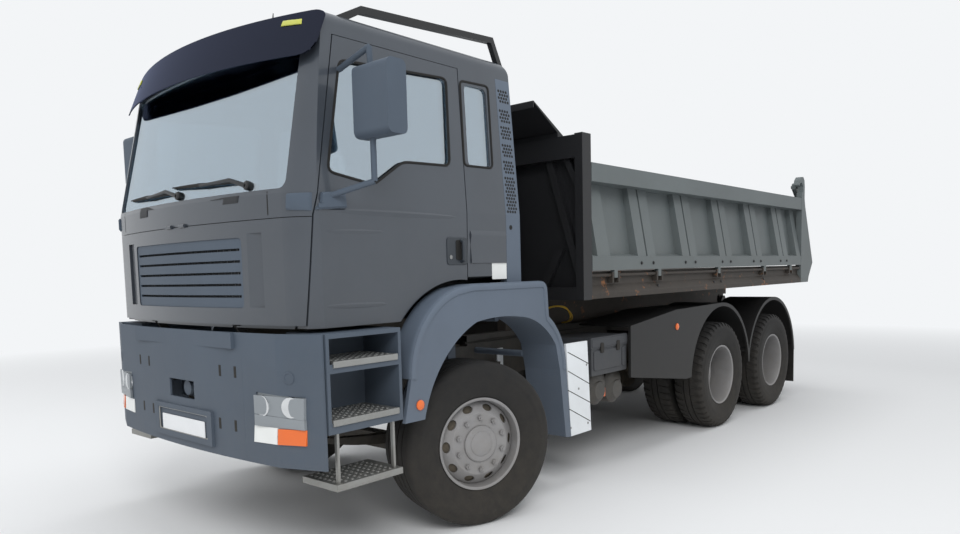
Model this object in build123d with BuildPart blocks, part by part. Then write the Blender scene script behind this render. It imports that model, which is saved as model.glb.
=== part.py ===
from build123d import *

# Three-axle tipper truck: day cab, ladder frame, steel body with drop sides, tipping gear and wheels.
#
# Millimetres. +Z is up, -Y is forward, +X is the truck's left. The origin is on the ground under the
# middle of the truck's box. The datum planes below have their origin under the front axle, so every
# outline gives its distance behind that axle and its height above the ground.
import os
from math import cos, pi, radians, sin

os.makedirs("parts", exist_ok=True)

# Clearances
SEAT = 0.3
RUN = 0.3
SHUT_GAP = 7.0
MOVING_GAP = 8.0

# Axles and overhangs, behind the front axle
WHEELBASE = 3600.0
TANDEM = 1400.0
FRONT_OVERHANG = 1470.0
REAR_REACH = 6260.0
FRONT_AXLE_Y = (FRONT_OVERHANG - REAR_REACH) / 2
REAR_AXLES = (WHEELBASE, WHEELBASE + TANDEM)

DATUM = Plane(origin=(0, FRONT_AXLE_Y, 0))
SIDE = Plane(origin=(0, FRONT_AXLE_Y, 0), x_dir=(0, 1, 0), z_dir=(1, 0, 0))
NOSE = Plane(origin=(0, FRONT_AXLE_Y, 0), x_dir=(1, 0, 0), z_dir=(0, -1, 0))

# Wheels
WHEEL_SIDES = 36
TYRE_R = 530.0
BEAD_R = 302.0
FLANGE_R = 298.0
RIM_SEAT_R = 286.0
RIM_WALL = 12.0
WIDEST_R = 425.0
SHOULDER_SHARE = 0.84
FLANGE_T = 13.0
FRONT_TYRE_W = 385.0
FRONT_RIM_W = 300.0
REAR_TYRE_W = 305.0
REAR_RIM_W = 230.0
TWIN_PITCH = 345.0
TWIN_MID_X = 902.0

# Steering
KINGPIN_X = 890.0
KINGPIN_R = 24.0
WHEEL_OFFSET = 180.0
PARKED_STEER = -18.0
SPINDLE_R = 42.0
STEER_ARM = 170.0
TIE_ROD_Z = 372.0
TIE_ROD_R = 20.0

# Cab tilt pivot: pins on two arms of the frame
TILT_Y = -1360.0
TILT_Z = 1367.5
TILT_PIN_R = 14.0
TILT_ARM_X = (470.0, 495.0)
TILT_PIN_END = 530.0

# Ladder frame
RAIL_OUT_X = 430.0
RAIL_TOP = 1050.0
RAIL_HEIGHT = 270.0
RAIL_FLANGE = 85.0
RAIL_T = 9.0
FRAME_FRONT = -1200.0
FRAME_REAR = 5560.0
SUBFRAME_FRONT = 640.0
SUBFRAME_TOP = 1190.0
SUBFRAME_W = 80.0

# Cab
CAB_HALF_W = 1120.0
CAB_TOP_HALF_W = 1045.0
CAB_NOSE = -1431.0
CAB_CORNER_X = 960.0
CAB_CORNER_Y = -1340.0
CAB_SIDE_START = -1215.0
CAB_REAR = 460.0
CAB_BOTTOM = 1345.0
CAB_WAIST = 2060.0
CAB_SHOULDER = 2960.0
CAB_ROOF = 3080.0
SCREEN_RAKE = 0.226
CAB_WALL = 55.0
GLASS_T = 6.0
GLASS_INSET = 14.0
ROOF_SEAM = 2905.0
FLAP_TOP = 1930.0
FLAP_T = 40.0
FLAP_BOTTOM = 1365.0

# Tipper body
BED_HALF_W = 1250.0
BED_FRONT = 1040.0
BED_REAR = 5880.0
BED_UNDER = 1400.0
BED_FLOOR_TOP = 1605.0
BED_FLOOR_T = 10.0
WALL_TOP = 2415.0
POST_TOP = 2620.0
POST_D = 115.0
SILL_TOP = 1720.0
BED_HINGE_Y = 5450.0
BED_HINGE_Z = 1195.0
HINGE_PIN_R = 30.0
HOIST_Y = 2950.0
HOIST_PIVOT_Z = 1095.0
HOIST_TOP_Z = 1440.0


def block(x, y, z, mode=Mode.ADD):
    """Box between two limits on each axis, measured in the datum frame."""
    with Locations(((x[0] + x[1]) / 2, (y[0] + y[1]) / 2, (z[0] + z[1]) / 2)):
        Box(x[1] - x[0], y[1] - y[0], z[1] - z[0], mode=mode)


def slab(outline, x, mode=Mode.ADD):
    """Plate between two x limits with a side-view outline of (y, z) corners."""
    with BuildSketch(SIDE.offset(x[0])) as profile:
        Polygon(*outline, align=None)
    extrude(profile.sketch, amount=x[1] - x[0], mode=mode)


def cross_slab(outline, y, mode=Mode.ADD):
    """Plate between two y limits with a front-view outline of (x, z) corners."""
    with BuildSketch(NOSE.offset(-y[0])) as profile:
        Polygon(*outline, align=None)
    extrude(profile.sketch, amount=y[0] - y[1], mode=mode)


def rod_x(x, y, z, radius, mode=Mode.ADD):
    """Round bar along X between two limits."""
    with BuildSketch(SIDE.offset(x[0])) as profile:
        with Locations((y, z)):
            Circle(radius)
    extrude(profile.sketch, amount=x[1] - x[0], mode=mode)


def rod_z(x, y, z, radius, mode=Mode.ADD):
    """Round bar along Z between two limits."""
    with BuildSketch(DATUM.offset(z[0])) as profile:
        with Locations((x, y)):
            Circle(radius)
    extrude(profile.sketch, amount=z[1] - z[0], mode=mode)


def rod_y(x, y, z, radius, mode=Mode.ADD):
    """Round bar along Y between two limits."""
    with BuildSketch(NOSE.offset(-y[0])) as profile:
        with Locations((x, z)):
            Circle(radius)
    extrude(profile.sketch, amount=y[0] - y[1], mode=mode)


def bar(start, end, radius, mode=Mode.ADD):
    """Round bar between two points of the datum frame."""
    first = DATUM.from_local_coords(Vector(*start))
    last = DATUM.from_local_coords(Vector(*end))
    with BuildSketch(Plane(origin=first, z_dir=last - first)) as profile:
        Circle(radius)
    extrude(profile.sketch, amount=(last - first).length, mode=mode)


def turned(stations):
    """Many-sided solid of rotation about Z with flat sides: stations are (height, radius to the flats)."""
    corner_share = 1 / cos(pi / WHEEL_SIDES)
    turns = [2 * pi * (corner + 0.5) / WHEEL_SIDES for corner in range(WHEEL_SIDES)]
    rings = []
    for height, radius in stations:
        reach = radius * corner_share
        rings.append([Vector(reach * cos(turn), reach * sin(turn), height) for turn in turns])
    sides = [Face(Wire.make_polygon(rings[0])), Face(Wire.make_polygon(rings[-1]))]
    for low, high in zip(rings, rings[1:]):
        for corner in range(WHEEL_SIDES):
            quad = [low[corner - 1], low[corner], high[corner], high[corner - 1]]
            sides.append(Face(Wire.make_polygon(quad)))
    return Solid(Shell(sides))


def save(builder, name):
    """Label a finished piece and write its STEP file."""
    builder.part.label = name
    export_step(builder.part, f"parts/{name}.step")




def wheel_plane(side):
    """Plane through the kingpin at axle height, its normal along the parked wheel's axis, outwards."""
    turn = radians(PARKED_STEER)
    out = Vector(cos(turn), sin(turn), 0) * side
    return Plane(
        origin=(side * KINGPIN_X, FRONT_AXLE_Y, TYRE_R),
        x_dir=(-sin(turn) * side, cos(turn) * side, 0),
        z_dir=out,
    )


def tyre_stations(mid, tyre_width, rim_width):
    """Tyre from bead to bead: columns are the share of the half width and the radius."""
    half = tyre_width / 2
    bead = rim_width / 2 - SEAT
    outside = ((bead, BEAD_R), (half, WIDEST_R), (half * SHOULDER_SHARE, TYRE_R))
    return [(mid - x, r) for x, r in outside] + [(mid + x, r) for x, r in reversed(outside)]


def many_sided(radius, mode=Mode.ADD):
    """Regular polygon with its flats at the given radius and one flat at the bottom."""
    RegularPolygon(radius, WHEEL_SIDES, major_radius=False, rotation=180 / WHEEL_SIDES, mode=mode)


def rim_barrel(mid, rim_width):
    """Rim without its disc, about Z: seat and two flanges."""
    half = rim_width / 2
    inner_r = RIM_SEAT_R - RIM_WALL
    with BuildPart() as barrel:
        for start, depth, outer_r in (
            (mid - half - FLANGE_T, FLANGE_T, FLANGE_R),
            (mid - half, rim_width, RIM_SEAT_R),
            (mid + half, FLANGE_T, FLANGE_R),
        ):
            with BuildSketch(Plane.XY.offset(start)) as section:
                many_sided(outer_r)
                many_sided(inner_r, mode=Mode.SUBTRACT)
            extrude(section.sketch, amount=depth)
    return barrel.part


def tyre_ring(mid, tyre_width, rim_width):
    """Tyre about Z with its bore on the rim's seat."""
    with BuildPart() as tyre:
        add(turned(tyre_stations(mid, tyre_width, rim_width)))
        with BuildSketch(Plane.XY.offset(mid - tyre_width)) as bore:
            many_sided(RIM_SEAT_R + SEAT)
        extrude(bore.sketch, amount=2 * tyre_width, mode=Mode.SUBTRACT)
    return tyre.part


def domed_hub(start, end, radius):
    """Hub about Z with a stepped cap at its outer end."""
    cap = radius * HUB_CAP_SHARE
    with BuildPart() as hub:
        add(turned([(start, radius), (end - HUB_STEP, radius), (end - HUB_STEP / 2, radius - HUB_STEP)]))
        add(turned([(end - HUB_STEP, cap), (end - HUB_STEP / 2, cap), (end, cap - HUB_STEP / 2)]))
    return hub.part


HUB_STEP = 24.0
HUB_CAP_SHARE = 0.55
DRUM_R = 205.0
DRUM_DEPTH = 140.0
HUB_R = 118.0
HAND_HOLES = 10
HAND_HOLE_R = 26.0
HAND_HOLE_PCR = 232.0
HAND_HOLE_SIDES = 10


RIM_BORE_R = RIM_SEAT_R - RIM_WALL
FRONT_FACE = WHEEL_OFFSET + FRONT_RIM_W / 2
DISC_T = 14.0
DISC_RISE = 60.0
DISC_FLAT_R = 195.0
HUB_START = 110.0
HUB_PROUD = 25.0
SPINDLE_END = 250.0

# One front wheel about Z: distances are from the kingpin along the wheel's axis
front_tyre_shape = tyre_ring(WHEEL_OFFSET, FRONT_TYRE_W, FRONT_RIM_W)
disc_root = FRONT_FACE - DISC_RISE
with BuildPart() as front_rim_master:
    add(rim_barrel(WHEEL_OFFSET, FRONT_RIM_W))
    add(turned([(disc_root, RIM_BORE_R + 1), (FRONT_FACE, DISC_FLAT_R)]))
    add(
        turned([(disc_root - DISC_T, RIM_BORE_R + 1), (FRONT_FACE - DISC_T, DISC_FLAT_R)]),
        mode=Mode.SUBTRACT
    )
    with BuildSketch(Plane.XY.offset(disc_root - DISC_T)) as hand_holes:
        with PolarLocations(HAND_HOLE_PCR, HAND_HOLES):
            RegularPolygon(HAND_HOLE_R, HAND_HOLE_SIDES)
    extrude(hand_holes.sketch, amount=DISC_RISE + DISC_T, mode=Mode.SUBTRACT)
    with BuildSketch(Plane.XY.offset(HUB_START)) as drum:
        many_sided(DRUM_R)
    extrude(drum.sketch, amount=DRUM_DEPTH)
    add(domed_hub(HUB_START, FRONT_FACE + HUB_PROUD, HUB_R))
    with BuildSketch(Plane.XY.offset(HUB_START)) as spindle_bore:
        Circle(SPINDLE_R + RUN)
    extrude(spindle_bore.sketch, amount=SPINDLE_END - HUB_START + RUN, mode=Mode.SUBTRACT)

for side, hand in ((1, "left"), (-1, "right")):
    place = wheel_plane(side).location
    with BuildPart() as front_tyre:
        add(front_tyre_shape.moved(place))
    save(front_tyre, f"front_tyre_{hand}")
    with BuildPart() as front_rim:
        add(front_rim_master.part.moved(place))
    save(front_rim, f"front_rim_{hand}")

# Twin rear wheels: each body is one pair of tyres and their rims on a drum and hub
REAR_DISC_IN_R = 200.0
REAR_HUB_R = 115.0
REAR_HUB_PROUD = 150.0
AXLE_END_R = 55.0
OUTER_MID = TWIN_MID_X + TWIN_PITCH / 2
INNER_MID = TWIN_MID_X - TWIN_PITCH / 2
REAR_DRUM_START = INNER_MID - 95.0
REAR_BORE_END = TWIN_MID_X + 60.0

twin_tyre_shapes = [tyre_ring(mid, REAR_TYRE_W, REAR_RIM_W) for mid in (INNER_MID, OUTER_MID)]
with BuildPart() as rear_rims_master:
    for mid, toward in ((INNER_MID, 1), (OUTER_MID, -1)):
        add(rim_barrel(mid, REAR_RIM_W))
        root = mid + toward * (REAR_RIM_W / 2 - 8)
        seat = TWIN_MID_X
        cone = turned(sorted([(root, RIM_BORE_R + 1), (seat, REAR_DISC_IN_R)]))
        hollow = turned(
            sorted([(root - toward * DISC_T, RIM_BORE_R + 1), (seat - toward * DISC_T, REAR_DISC_IN_R)])
        )
        add(cone)
        add(hollow, mode=Mode.SUBTRACT)
    with BuildSketch(Plane.XY.offset(REAR_DRUM_START)) as drum:
        many_sided(DRUM_R)
    extrude(drum.sketch, amount=TWIN_MID_X - REAR_DRUM_START)
    add(domed_hub(TWIN_MID_X - DISC_T, TWIN_MID_X + REAR_HUB_PROUD, REAR_HUB_R))
    with BuildSketch(Plane.XY.offset(REAR_DRUM_START)) as axle_bore:
        Circle(AXLE_END_R + RUN)
    extrude(axle_bore.sketch, amount=REAR_BORE_END - REAR_DRUM_START + RUN, mode=Mode.SUBTRACT)

for number, axle_y in enumerate(REAR_AXLES, start=1):
    for side, hand in ((1, "left"), (-1, "right")):
        place = Plane(
            origin=(0, FRONT_AXLE_Y + axle_y, TYRE_R), x_dir=(0, side, 0), z_dir=(side, 0, 0)
        ).location
        with BuildPart() as rear_tyres:
            for shape in twin_tyre_shapes:
                add(shape.moved(place))
        save(rear_tyres, f"rear_tyres_{number}_{hand}")
        with BuildPart() as rear_rims:
            add(rear_rims_master.part.moved(place))
        save(rear_rims, f"rear_rims_{number}_{hand}")

# Ladder frame: two channel rails tied by tubes and a front beam
CROSS_TUBES = (-1080.0, 1480.0, 2300.0, 3450.0, 4300.0, 5480.0)
CROSS_TUBE_R = 55.0
CROSS_TUBE_Z = 900.0
RAIL_BOTTOM = RAIL_TOP - RAIL_HEIGHT


def channel_rail(side):
    """One C-section rail, open towards the middle of the truck."""
    outer = side * RAIL_OUT_X
    inner = side * (RAIL_OUT_X - RAIL_FLANGE)
    web = side * (RAIL_OUT_X - RAIL_T)
    with BuildSketch(NOSE.offset(-FRAME_FRONT)) as section:
        Polygon(
            (outer, RAIL_BOTTOM), (outer, RAIL_TOP), (inner, RAIL_TOP), (inner, RAIL_TOP - RAIL_T),
            (web, RAIL_TOP - RAIL_T), (web, RAIL_BOTTOM + RAIL_T), (inner, RAIL_BOTTOM + RAIL_T),
            (inner, RAIL_BOTTOM), align=None,
        )
    extrude(section.sketch, amount=FRAME_FRONT - FRAME_REAR)


TANDEM_MID = WHEELBASE + TANDEM / 2
AXLE_R = 75.0
SPRING_W = 80.0
SPRING_X = (RAIL_OUT_X - 20.0, RAIL_OUT_X + 60.0)
SPRING_SAG = 45.0
TRUNNION_R = 40.0
TRUNNION_IN_X = 350.0
TRUNNION_Z = TYRE_R + AXLE_R - SPRING_SAG - TRUNNION_R

with BuildPart(DATUM) as chassis_frame:
    for side in (1, -1):
        channel_rail(side)
    for tube_y in CROSS_TUBES:
        rod_x((-(RAIL_OUT_X - RAIL_T), RAIL_OUT_X - RAIL_T), tube_y, CROSS_TUBE_Z, CROSS_TUBE_R)
    for side in (1, -1):
        bracket = sorted((side * (RAIL_OUT_X - RAIL_T), side * (RAIL_OUT_X + 60)))
        for hanger_y in (-880.0, 880.0):
            slab(
                ((hanger_y - 90, RAIL_BOTTOM + 120), (hanger_y - 45, 615), (hanger_y + 45, 615),
                 (hanger_y + 90, RAIL_BOTTOM + 120)), bracket,
            )
        carrier = sorted((side * TRUNNION_IN_X, side * (TRUNNION_IN_X + 55)))
        slab(
            ((TANDEM_MID - 170, RAIL_BOTTOM + RAIL_T), (TANDEM_MID - 60, TRUNNION_Z - 60),
             (TANDEM_MID + 60, TRUNNION_Z - 60), (TANDEM_MID + 170, RAIL_BOTTOM + RAIL_T)), carrier,
        )
        rod_x(sorted((side * TRUNNION_IN_X, side * SPRING_X[1])), TANDEM_MID, TRUNNION_Z, TRUNNION_R)
    for side in (1, -1):
        arm = sorted((side * TILT_ARM_X[0], side * TILT_ARM_X[1]))
        slab(
            ((TILT_Y - 15, TILT_Z - 2), (TILT_Y - 11, TILT_Z + 14), (TILT_Y + 8, TILT_Z + 18),
             (TILT_Y + 24, TILT_Z + 8),
             (-1262, 1290), (-1245, 1240), (-1100, 1040), (-1100, 800), (-1190, 800), (-1290, 1000),
             (-1300, 1240), (-1312, 1275), (TILT_Y - 2, TILT_Z - 20)), arm,
        )
        rod_x(sorted((side * TILT_ARM_X[0], side * (TILT_PIN_END - 2))), TILT_Y, TILT_Z, TILT_PIN_R)
        block(sorted((side * (RAIL_OUT_X - RAIL_T), side * TILT_ARM_X[1])), (-1180, -1110), (820, 1000))
        block(
            sorted((side * (RAIL_OUT_X - 45), side * RAIL_OUT_X)), (330, 400),
            (RAIL_TOP - RAIL_T, CAB_BOTTOM - SEAT)
        )
save(chassis_frame, "chassis_frame")

# Tipping subframe: two box rails on the ladder frame, their hinge lugs at the rear
LUG_T = 30.0
TRUNNION_PIN_R = 22.0
with BuildPart(DATUM) as subframe:
    for side in (1, -1):
        box_x = sorted((side * (RAIL_OUT_X - SUBFRAME_W), side * RAIL_OUT_X))
        block(box_x, (SUBFRAME_FRONT, FRAME_REAR), (RAIL_TOP, SUBFRAME_TOP - 60))
        inner_x = sorted((side * (RAIL_OUT_X - SUBFRAME_W + 6), side * (RAIL_OUT_X - 6)))
        block(inner_x, (SUBFRAME_FRONT, FRAME_REAR), (RAIL_TOP + 6, SUBFRAME_TOP - 66), mode=Mode.SUBTRACT)
        for lug_x in (RAIL_OUT_X - SUBFRAME_W, RAIL_OUT_X - LUG_T):
            lug = sorted((side * lug_x, side * (lug_x + LUG_T)))
            slab(
                ((BED_HINGE_Y - 110, SUBFRAME_TOP - 62), (BED_HINGE_Y - 55, BED_HINGE_Z + 20),
                 (BED_HINGE_Y - 25, BED_HINGE_Z + 55), (BED_HINGE_Y + 25, BED_HINGE_Z + 55),
                 (BED_HINGE_Y + 55, BED_HINGE_Z + 20), (BED_HINGE_Y + 110, SUBFRAME_TOP - 62)), lug,
            )
        pin = sorted((side * (RAIL_OUT_X - SUBFRAME_W), side * RAIL_OUT_X))
        rod_x(pin, BED_HINGE_Y, BED_HINGE_Z, HINGE_PIN_R)
    for tie_y in (SUBFRAME_FRONT + 40, HOIST_Y - 330, HOIST_Y + 330, BED_HINGE_Y - 250):
        block(
            (-(RAIL_OUT_X - SUBFRAME_W), RAIL_OUT_X - SUBFRAME_W), (tie_y - 40, tie_y + 40),
            (RAIL_TOP + 10, SUBFRAME_TOP - 60),
        )
    with BuildSketch(DATUM.offset(HOIST_PIVOT_Z - 30)) as cradle:
        with Locations((0, HOIST_Y)):
            Rectangle(2 * (RAIL_OUT_X - SUBFRAME_W) + 4, 60)
            Circle(175)
            Circle(135, mode=Mode.SUBTRACT)
    extrude(cradle.sketch, amount=60)
    with BuildSketch(SIDE.offset(-140)) as cradle_bore:
        with Locations((HOIST_Y, HOIST_PIVOT_Z)):
            Circle(TRUNNION_PIN_R + RUN)
    extrude(cradle_bore.sketch, amount=280, mode=Mode.SUBTRACT)
save(subframe, "subframe")

# Axle beams: the front beam ends in kingpins, the rear ones in round axle ends
BEAM_HALF = 50.0
BEAM_Z = (345.0, 455.0)
EYE_R = 58.0
EYE_Z = (TYRE_R - 75.0, TYRE_R + 75.0)
PIN_Z = (TYRE_R - 150.0, TYRE_R + 150.0)
DIFF_R = 215.0

with BuildPart(DATUM) as front_axle:
    beam_end = (
        (680, BEAM_Z[0]), (790, EYE_Z[0]), (KINGPIN_X - 20, EYE_Z[0]), (KINGPIN_X - 20, EYE_Z[1] - 20),
        (KINGPIN_X - 70, EYE_Z[1] - 30), (660, BEAM_Z[1]),
    )
    mirrored_end = tuple((-x, z) for x, z in reversed(beam_end))
    cross_slab(beam_end + mirrored_end, (-BEAM_HALF, BEAM_HALF))
    for side in (1, -1):
        rod_z(side * KINGPIN_X, 0, EYE_Z, EYE_R)
        rod_z(side * KINGPIN_X, 0, PIN_Z, KINGPIN_R)
save(front_axle, "front_axle")

with BuildPart(DATUM) as rear_axles:
    for axle_y in REAR_AXLES:
        reach = REAR_BORE_END
        rod_x((-reach, reach), axle_y, TYRE_R, AXLE_END_R)
        rod_x((-(REAR_DRUM_START - 12), REAR_DRUM_START - 12), axle_y, TYRE_R, AXLE_R)
        with BuildSketch(SIDE.offset(-130)) as housing:
            with Locations((axle_y, TYRE_R)):
                Circle(DIFF_R)
        extrude(housing.sketch, amount=260)
save(rear_axles, "rear_axles")

# Leaf springs: a front pair and a rear pair on the tandem's trunnion
with BuildPart(DATUM) as leaf_springs:
    for side in (1, -1):
        spring_x = sorted((side * SPRING_X[0], side * SPRING_X[1]))
        front_top = 614.7
        with BuildSketch(SIDE.offset(spring_x[0])) as front_leaf:
            with BuildLine():
                low = ThreePointArc((-880, front_top - 24), (0, BEAM_Z[1] + SEAT), (880, front_top - 24))
                Line(low @ 1, (880, front_top))
                high = ThreePointArc((880, front_top), (0, BEAM_Z[1] + 70), (-880, front_top))
                Line(high @ 1, low @ 0)
            make_face()
        extrude(front_leaf.sketch, amount=SPRING_W)
        with BuildSketch(SIDE.offset(spring_x[0])) as rear_leaf:
            low_z = TYRE_R + AXLE_R + SEAT
            with BuildLine():
                low = Polyline(
                    (WHEELBASE - 40, low_z), (WHEELBASE + 60, low_z), (TANDEM_MID, low_z - SPRING_SAG),
                    (WHEELBASE + TANDEM - 60, low_z), (WHEELBASE + TANDEM + 40, low_z),
                )
                Line(low @ 1, (WHEELBASE + TANDEM + 40, low_z + 30))
                high = ThreePointArc(
                    (WHEELBASE + TANDEM + 40, low_z + 30), (TANDEM_MID, low_z + 95),
                    (WHEELBASE - 40, low_z + 30),
                )
                Line(high @ 1, low @ 0)
            make_face()
        extrude(rear_leaf.sketch, amount=SPRING_W)
save(leaf_springs, "leaf_springs")

# Engine and gearbox: one plain block under the cab's tunnel
with BuildPart(DATUM) as engine:
    block((-330, 330), (-820, 420), (620, 1540))
    block((-200, 200), (420, 1350), (650, 1000))
    for side in (1, -1):
        for foot_y in (-500, 300):
            block(
                sorted((side * 320, side * (RAIL_OUT_X - RAIL_T - SEAT))), (foot_y, foot_y + 90), (860, 960)
            )
save(engine, "engine")

# Knuckles: fork about the beam's eye, spindle and steering arm
FORK_T = 42.0
ARM_W = 36.0


def knuckle_part(side):
    """Steering knuckle at the parked angle: the fork's lugs lie above and below the beam's eye."""
    plane = wheel_plane(side)
    turn = PARKED_STEER
    upright = Plane(origin=(side * KINGPIN_X, FRONT_AXLE_Y, 0)).rotated((0, 0, turn))
    with BuildPart() as knuckle:
        for low in (EYE_Z[0] - SEAT - FORK_T, EYE_Z[1] + SEAT):
            with BuildSketch(upright.offset(low)) as lug:
                Circle(EYE_R)
                with Locations((side * 50, 0)):
                    Rectangle(100, 2 * EYE_R - 20)
                Circle(KINGPIN_R + RUN, mode=Mode.SUBTRACT)
            extrude(lug.sketch, amount=FORK_T)
        with BuildSketch(upright.offset(EYE_Z[0] - SEAT - FORK_T)) as web:
            with Locations((side * 82, 0)):
                Rectangle(36, 2 * EYE_R - 20)
        extrude(web.sketch, amount=EYE_Z[1] - EYE_Z[0] + 2 * (FORK_T + SEAT))
        with BuildSketch(plane.offset(90)) as spindle:
            Circle(SPINDLE_R)
        extrude(spindle.sketch, amount=SPINDLE_END - 90)
        with BuildSketch(upright.offset(EYE_Z[0] - SEAT - FORK_T)) as arm:
            with Locations((0, STEER_ARM / 2 + 20)):
                Rectangle(ARM_W, STEER_ARM - 40)
            with Locations((0, STEER_ARM)):
                Circle(30)
        extrude(arm.sketch, amount=26)
    return knuckle.part


knuckle_shapes = {side: knuckle_part(side) for side in (1, -1)}
for side, hand in ((1, "left"), (-1, "right")):
    with BuildPart() as knuckle:
        add(knuckle_shapes[side])
    save(knuckle, f"knuckle_{hand}")

# Tie rod: its eyes sit under the steering arms
turn = radians(PARKED_STEER)
ball_dx = -STEER_ARM * sin(turn)
ball_y = STEER_ARM * cos(turn)
ARM_UNDER = EYE_Z[0] - SEAT - FORK_T
with BuildPart(DATUM) as tie_rod:
    rod_x((-KINGPIN_X + ball_dx, KINGPIN_X + ball_dx), ball_y, TIE_ROD_Z, TIE_ROD_R)
    for side in (1, -1):
        rod_z(side * KINGPIN_X + ball_dx, ball_y, (TIE_ROD_Z - 26, ARM_UNDER - SEAT), 28)
save(tie_rod, "tie_rod")

# Cab: volumes at several insets give the skin, the inner lining, the glass and the front flap
CAB_HIGH = CAB_ROOF + 60.0
DOOR_SHUT = ((-1289, 1345), (-1246, 1943), (-1035, ROOF_SEAM))
DOOR_REAR_TOP = (-62, ROOF_SEAM)
DOOR_REAR_LOW = (-90, 1572)
DOOR_ARCH_MID = (-478, 1498)
DOOR_ARCH_LOW = (-672, 1345)
TUNNEL_HALF_W = 420.0
TUNNEL_TOP = 1780.0
SCREEN_LOW_Z = 2085.0
SCREEN_TOP_Z = 2850.0
SCREEN_HALF_W = 985.0
SCREEN_TOP_HALF_W = 950.0


def cab_volume(inset):
    """Cab's outer form, or the same form a wall's thickness further in: plan, side and front outlines."""
    rake = Vector(0, SCREEN_RAKE, 1)
    with BuildPart() as volume:
        with BuildSketch(DATUM.offset(CAB_BOTTOM - 200)) as plan:
            with BuildLine() as outline:
                nose = ThreePointArc(
                    (-CAB_CORNER_X, CAB_CORNER_Y), (0, CAB_NOSE), (CAB_CORNER_X, CAB_CORNER_Y)
                )
                left = TangentArc(nose @ 1, (CAB_HALF_W, CAB_SIDE_START), tangent=nose % 1)
                right = TangentArc(nose @ 0, (-CAB_HALF_W, CAB_SIDE_START), tangent=-(nose % 0))
                Polyline(left @ 1, (CAB_HALF_W, CAB_REAR + 600), (-CAB_HALF_W, CAB_REAR + 600), right @ 1)
            make_face()
            if inset:
                offset(amount=-inset)
        lower = CAB_WAIST - (CAB_BOTTOM - 200)
        extrude(plan.sketch, amount=lower)
        raked = plan.sketch.moved(Location((0, 0, lower)))
        extrude(raked, amount=(CAB_HIGH - CAB_WAIST) * rake.length, dir=rake)
        with BuildSketch(SIDE.offset(-2 * CAB_HALF_W)) as profile:
            with BuildLine():
                floor_z = CAB_BOTTOM - (150 if inset else 0)
                front = Polyline((CAB_REAR, floor_z), (-1600, floor_z), (-1600, 2880), (-1215, 2880))
                brow = ThreePointArc(front @ 1, (-1140, 2985), (-900, 3050))
                crown = ThreePointArc(brow @ 1, (-350, CAB_ROOF), (250, 3060))
                rear = ThreePointArc(crown @ 1, (380, 3035), (450, 2950))
                Line(rear @ 1, (CAB_REAR, floor_z))
            make_face()
            if inset:
                offset(amount=-inset)
        extrude(profile.sketch, amount=4 * CAB_HALF_W, mode=Mode.INTERSECT)
        with BuildSketch(NOSE.offset(2 * CAB_HALF_W)) as section:
            with BuildLine():
                low = Polyline(
                    (-CAB_TOP_HALF_W, CAB_SHOULDER), (-CAB_HALF_W, 2000), (-CAB_HALF_W, CAB_BOTTOM - 100),
                    (CAB_HALF_W, CAB_BOTTOM - 100), (CAB_HALF_W, 2000), (CAB_TOP_HALF_W, CAB_SHOULDER),
                )
                left = ThreePointArc(
                    low @ 1, (CAB_TOP_HALF_W - 20, CAB_SHOULDER + 50),
                    (CAB_TOP_HALF_W - 75, CAB_SHOULDER + 75)
                )
                roof = ThreePointArc(left @ 1, (0, CAB_ROOF + 5), (-(CAB_TOP_HALF_W - 75), CAB_SHOULDER + 75))
                ThreePointArc(roof @ 1, (-(CAB_TOP_HALF_W - 20), CAB_SHOULDER + 50), low @ 0)
            make_face()
            if inset:
                offset(amount=-inset)
        extrude(section.sketch, amount=-4 * CAB_HALF_W, mode=Mode.INTERSECT)
    return volume.part


def door_prism(grow, x):
    """Door outline, grown or shrunk, between two x limits."""
    with BuildPart() as prism:
        with BuildSketch(SIDE.offset(x[0])) as outline:
            with BuildLine():
                Polyline(DOOR_ARCH_LOW, *DOOR_SHUT, DOOR_REAR_TOP, DOOR_REAR_LOW)
                ThreePointArc(DOOR_REAR_LOW, DOOR_ARCH_MID, DOOR_ARCH_LOW)
            make_face()
            offset(amount=grow)
        extrude(outline.sketch, amount=x[1] - x[0])
    return prism.part


def side_prism(outline, x, rounding, grow=0.0):
    """Side-view outline with rounded corners, grown or shrunk, between two x limits."""
    with BuildPart() as prism:
        with BuildSketch(SIDE.offset(x[0])) as window:
            Polygon(*outline, align=None)
            fillet(window.vertices(), rounding)
            if grow:
                offset(amount=grow)
        extrude(window.sketch, amount=x[1] - x[0])
    return prism.part


def screen_prism(grow):
    """Windscreen outline in front view, grown or shrunk, through the front of the cab."""
    with BuildPart() as prism:
        with BuildSketch(NOSE.offset(1600)) as window:
            Polygon(
                (-SCREEN_HALF_W, SCREEN_LOW_Z), (SCREEN_HALF_W, SCREEN_LOW_Z),
                (SCREEN_TOP_HALF_W, SCREEN_TOP_Z), (-SCREEN_TOP_HALF_W, SCREEN_TOP_Z), align=None,
            )
            fillet(window.vertices(), 45)
            if grow:
                offset(amount=grow)
        extrude(window.sketch, amount=-700)
    return prism.part


def half_space(y=None, z=None):
    """Large block used to take one region of the cab: limits on y and z."""
    y = y or (-1800.0, 1400.0)
    z = z or (900.0, 3400.0)
    with BuildPart(DATUM) as region:
        block((-1500.0, 1500.0), y, z)
    return region.part


outer = cab_volume(0)
inner = cab_volume(CAB_WALL)
behind_flap = cab_volume(FLAP_T + SEAT + 5)
flap_lining = cab_volume(FLAP_T + SEAT + 5 + 45)
skin = outer - inner

DOOR_WINDOW = ((-1145, 2170), (-1003, 2775), (-172, 2822), (-205, 2282), (-600, 2270), (-835, 2122))
QUARTER_WINDOW = ((-32, 2295), (-12, 2815), (200, 2815), (185, 2295))
STRIP_FRONT = 305.0
door_open = {side: door_prism(SHUT_GAP / 2, (side * 700, side * 1400)) for side in (1, -1)}

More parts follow.
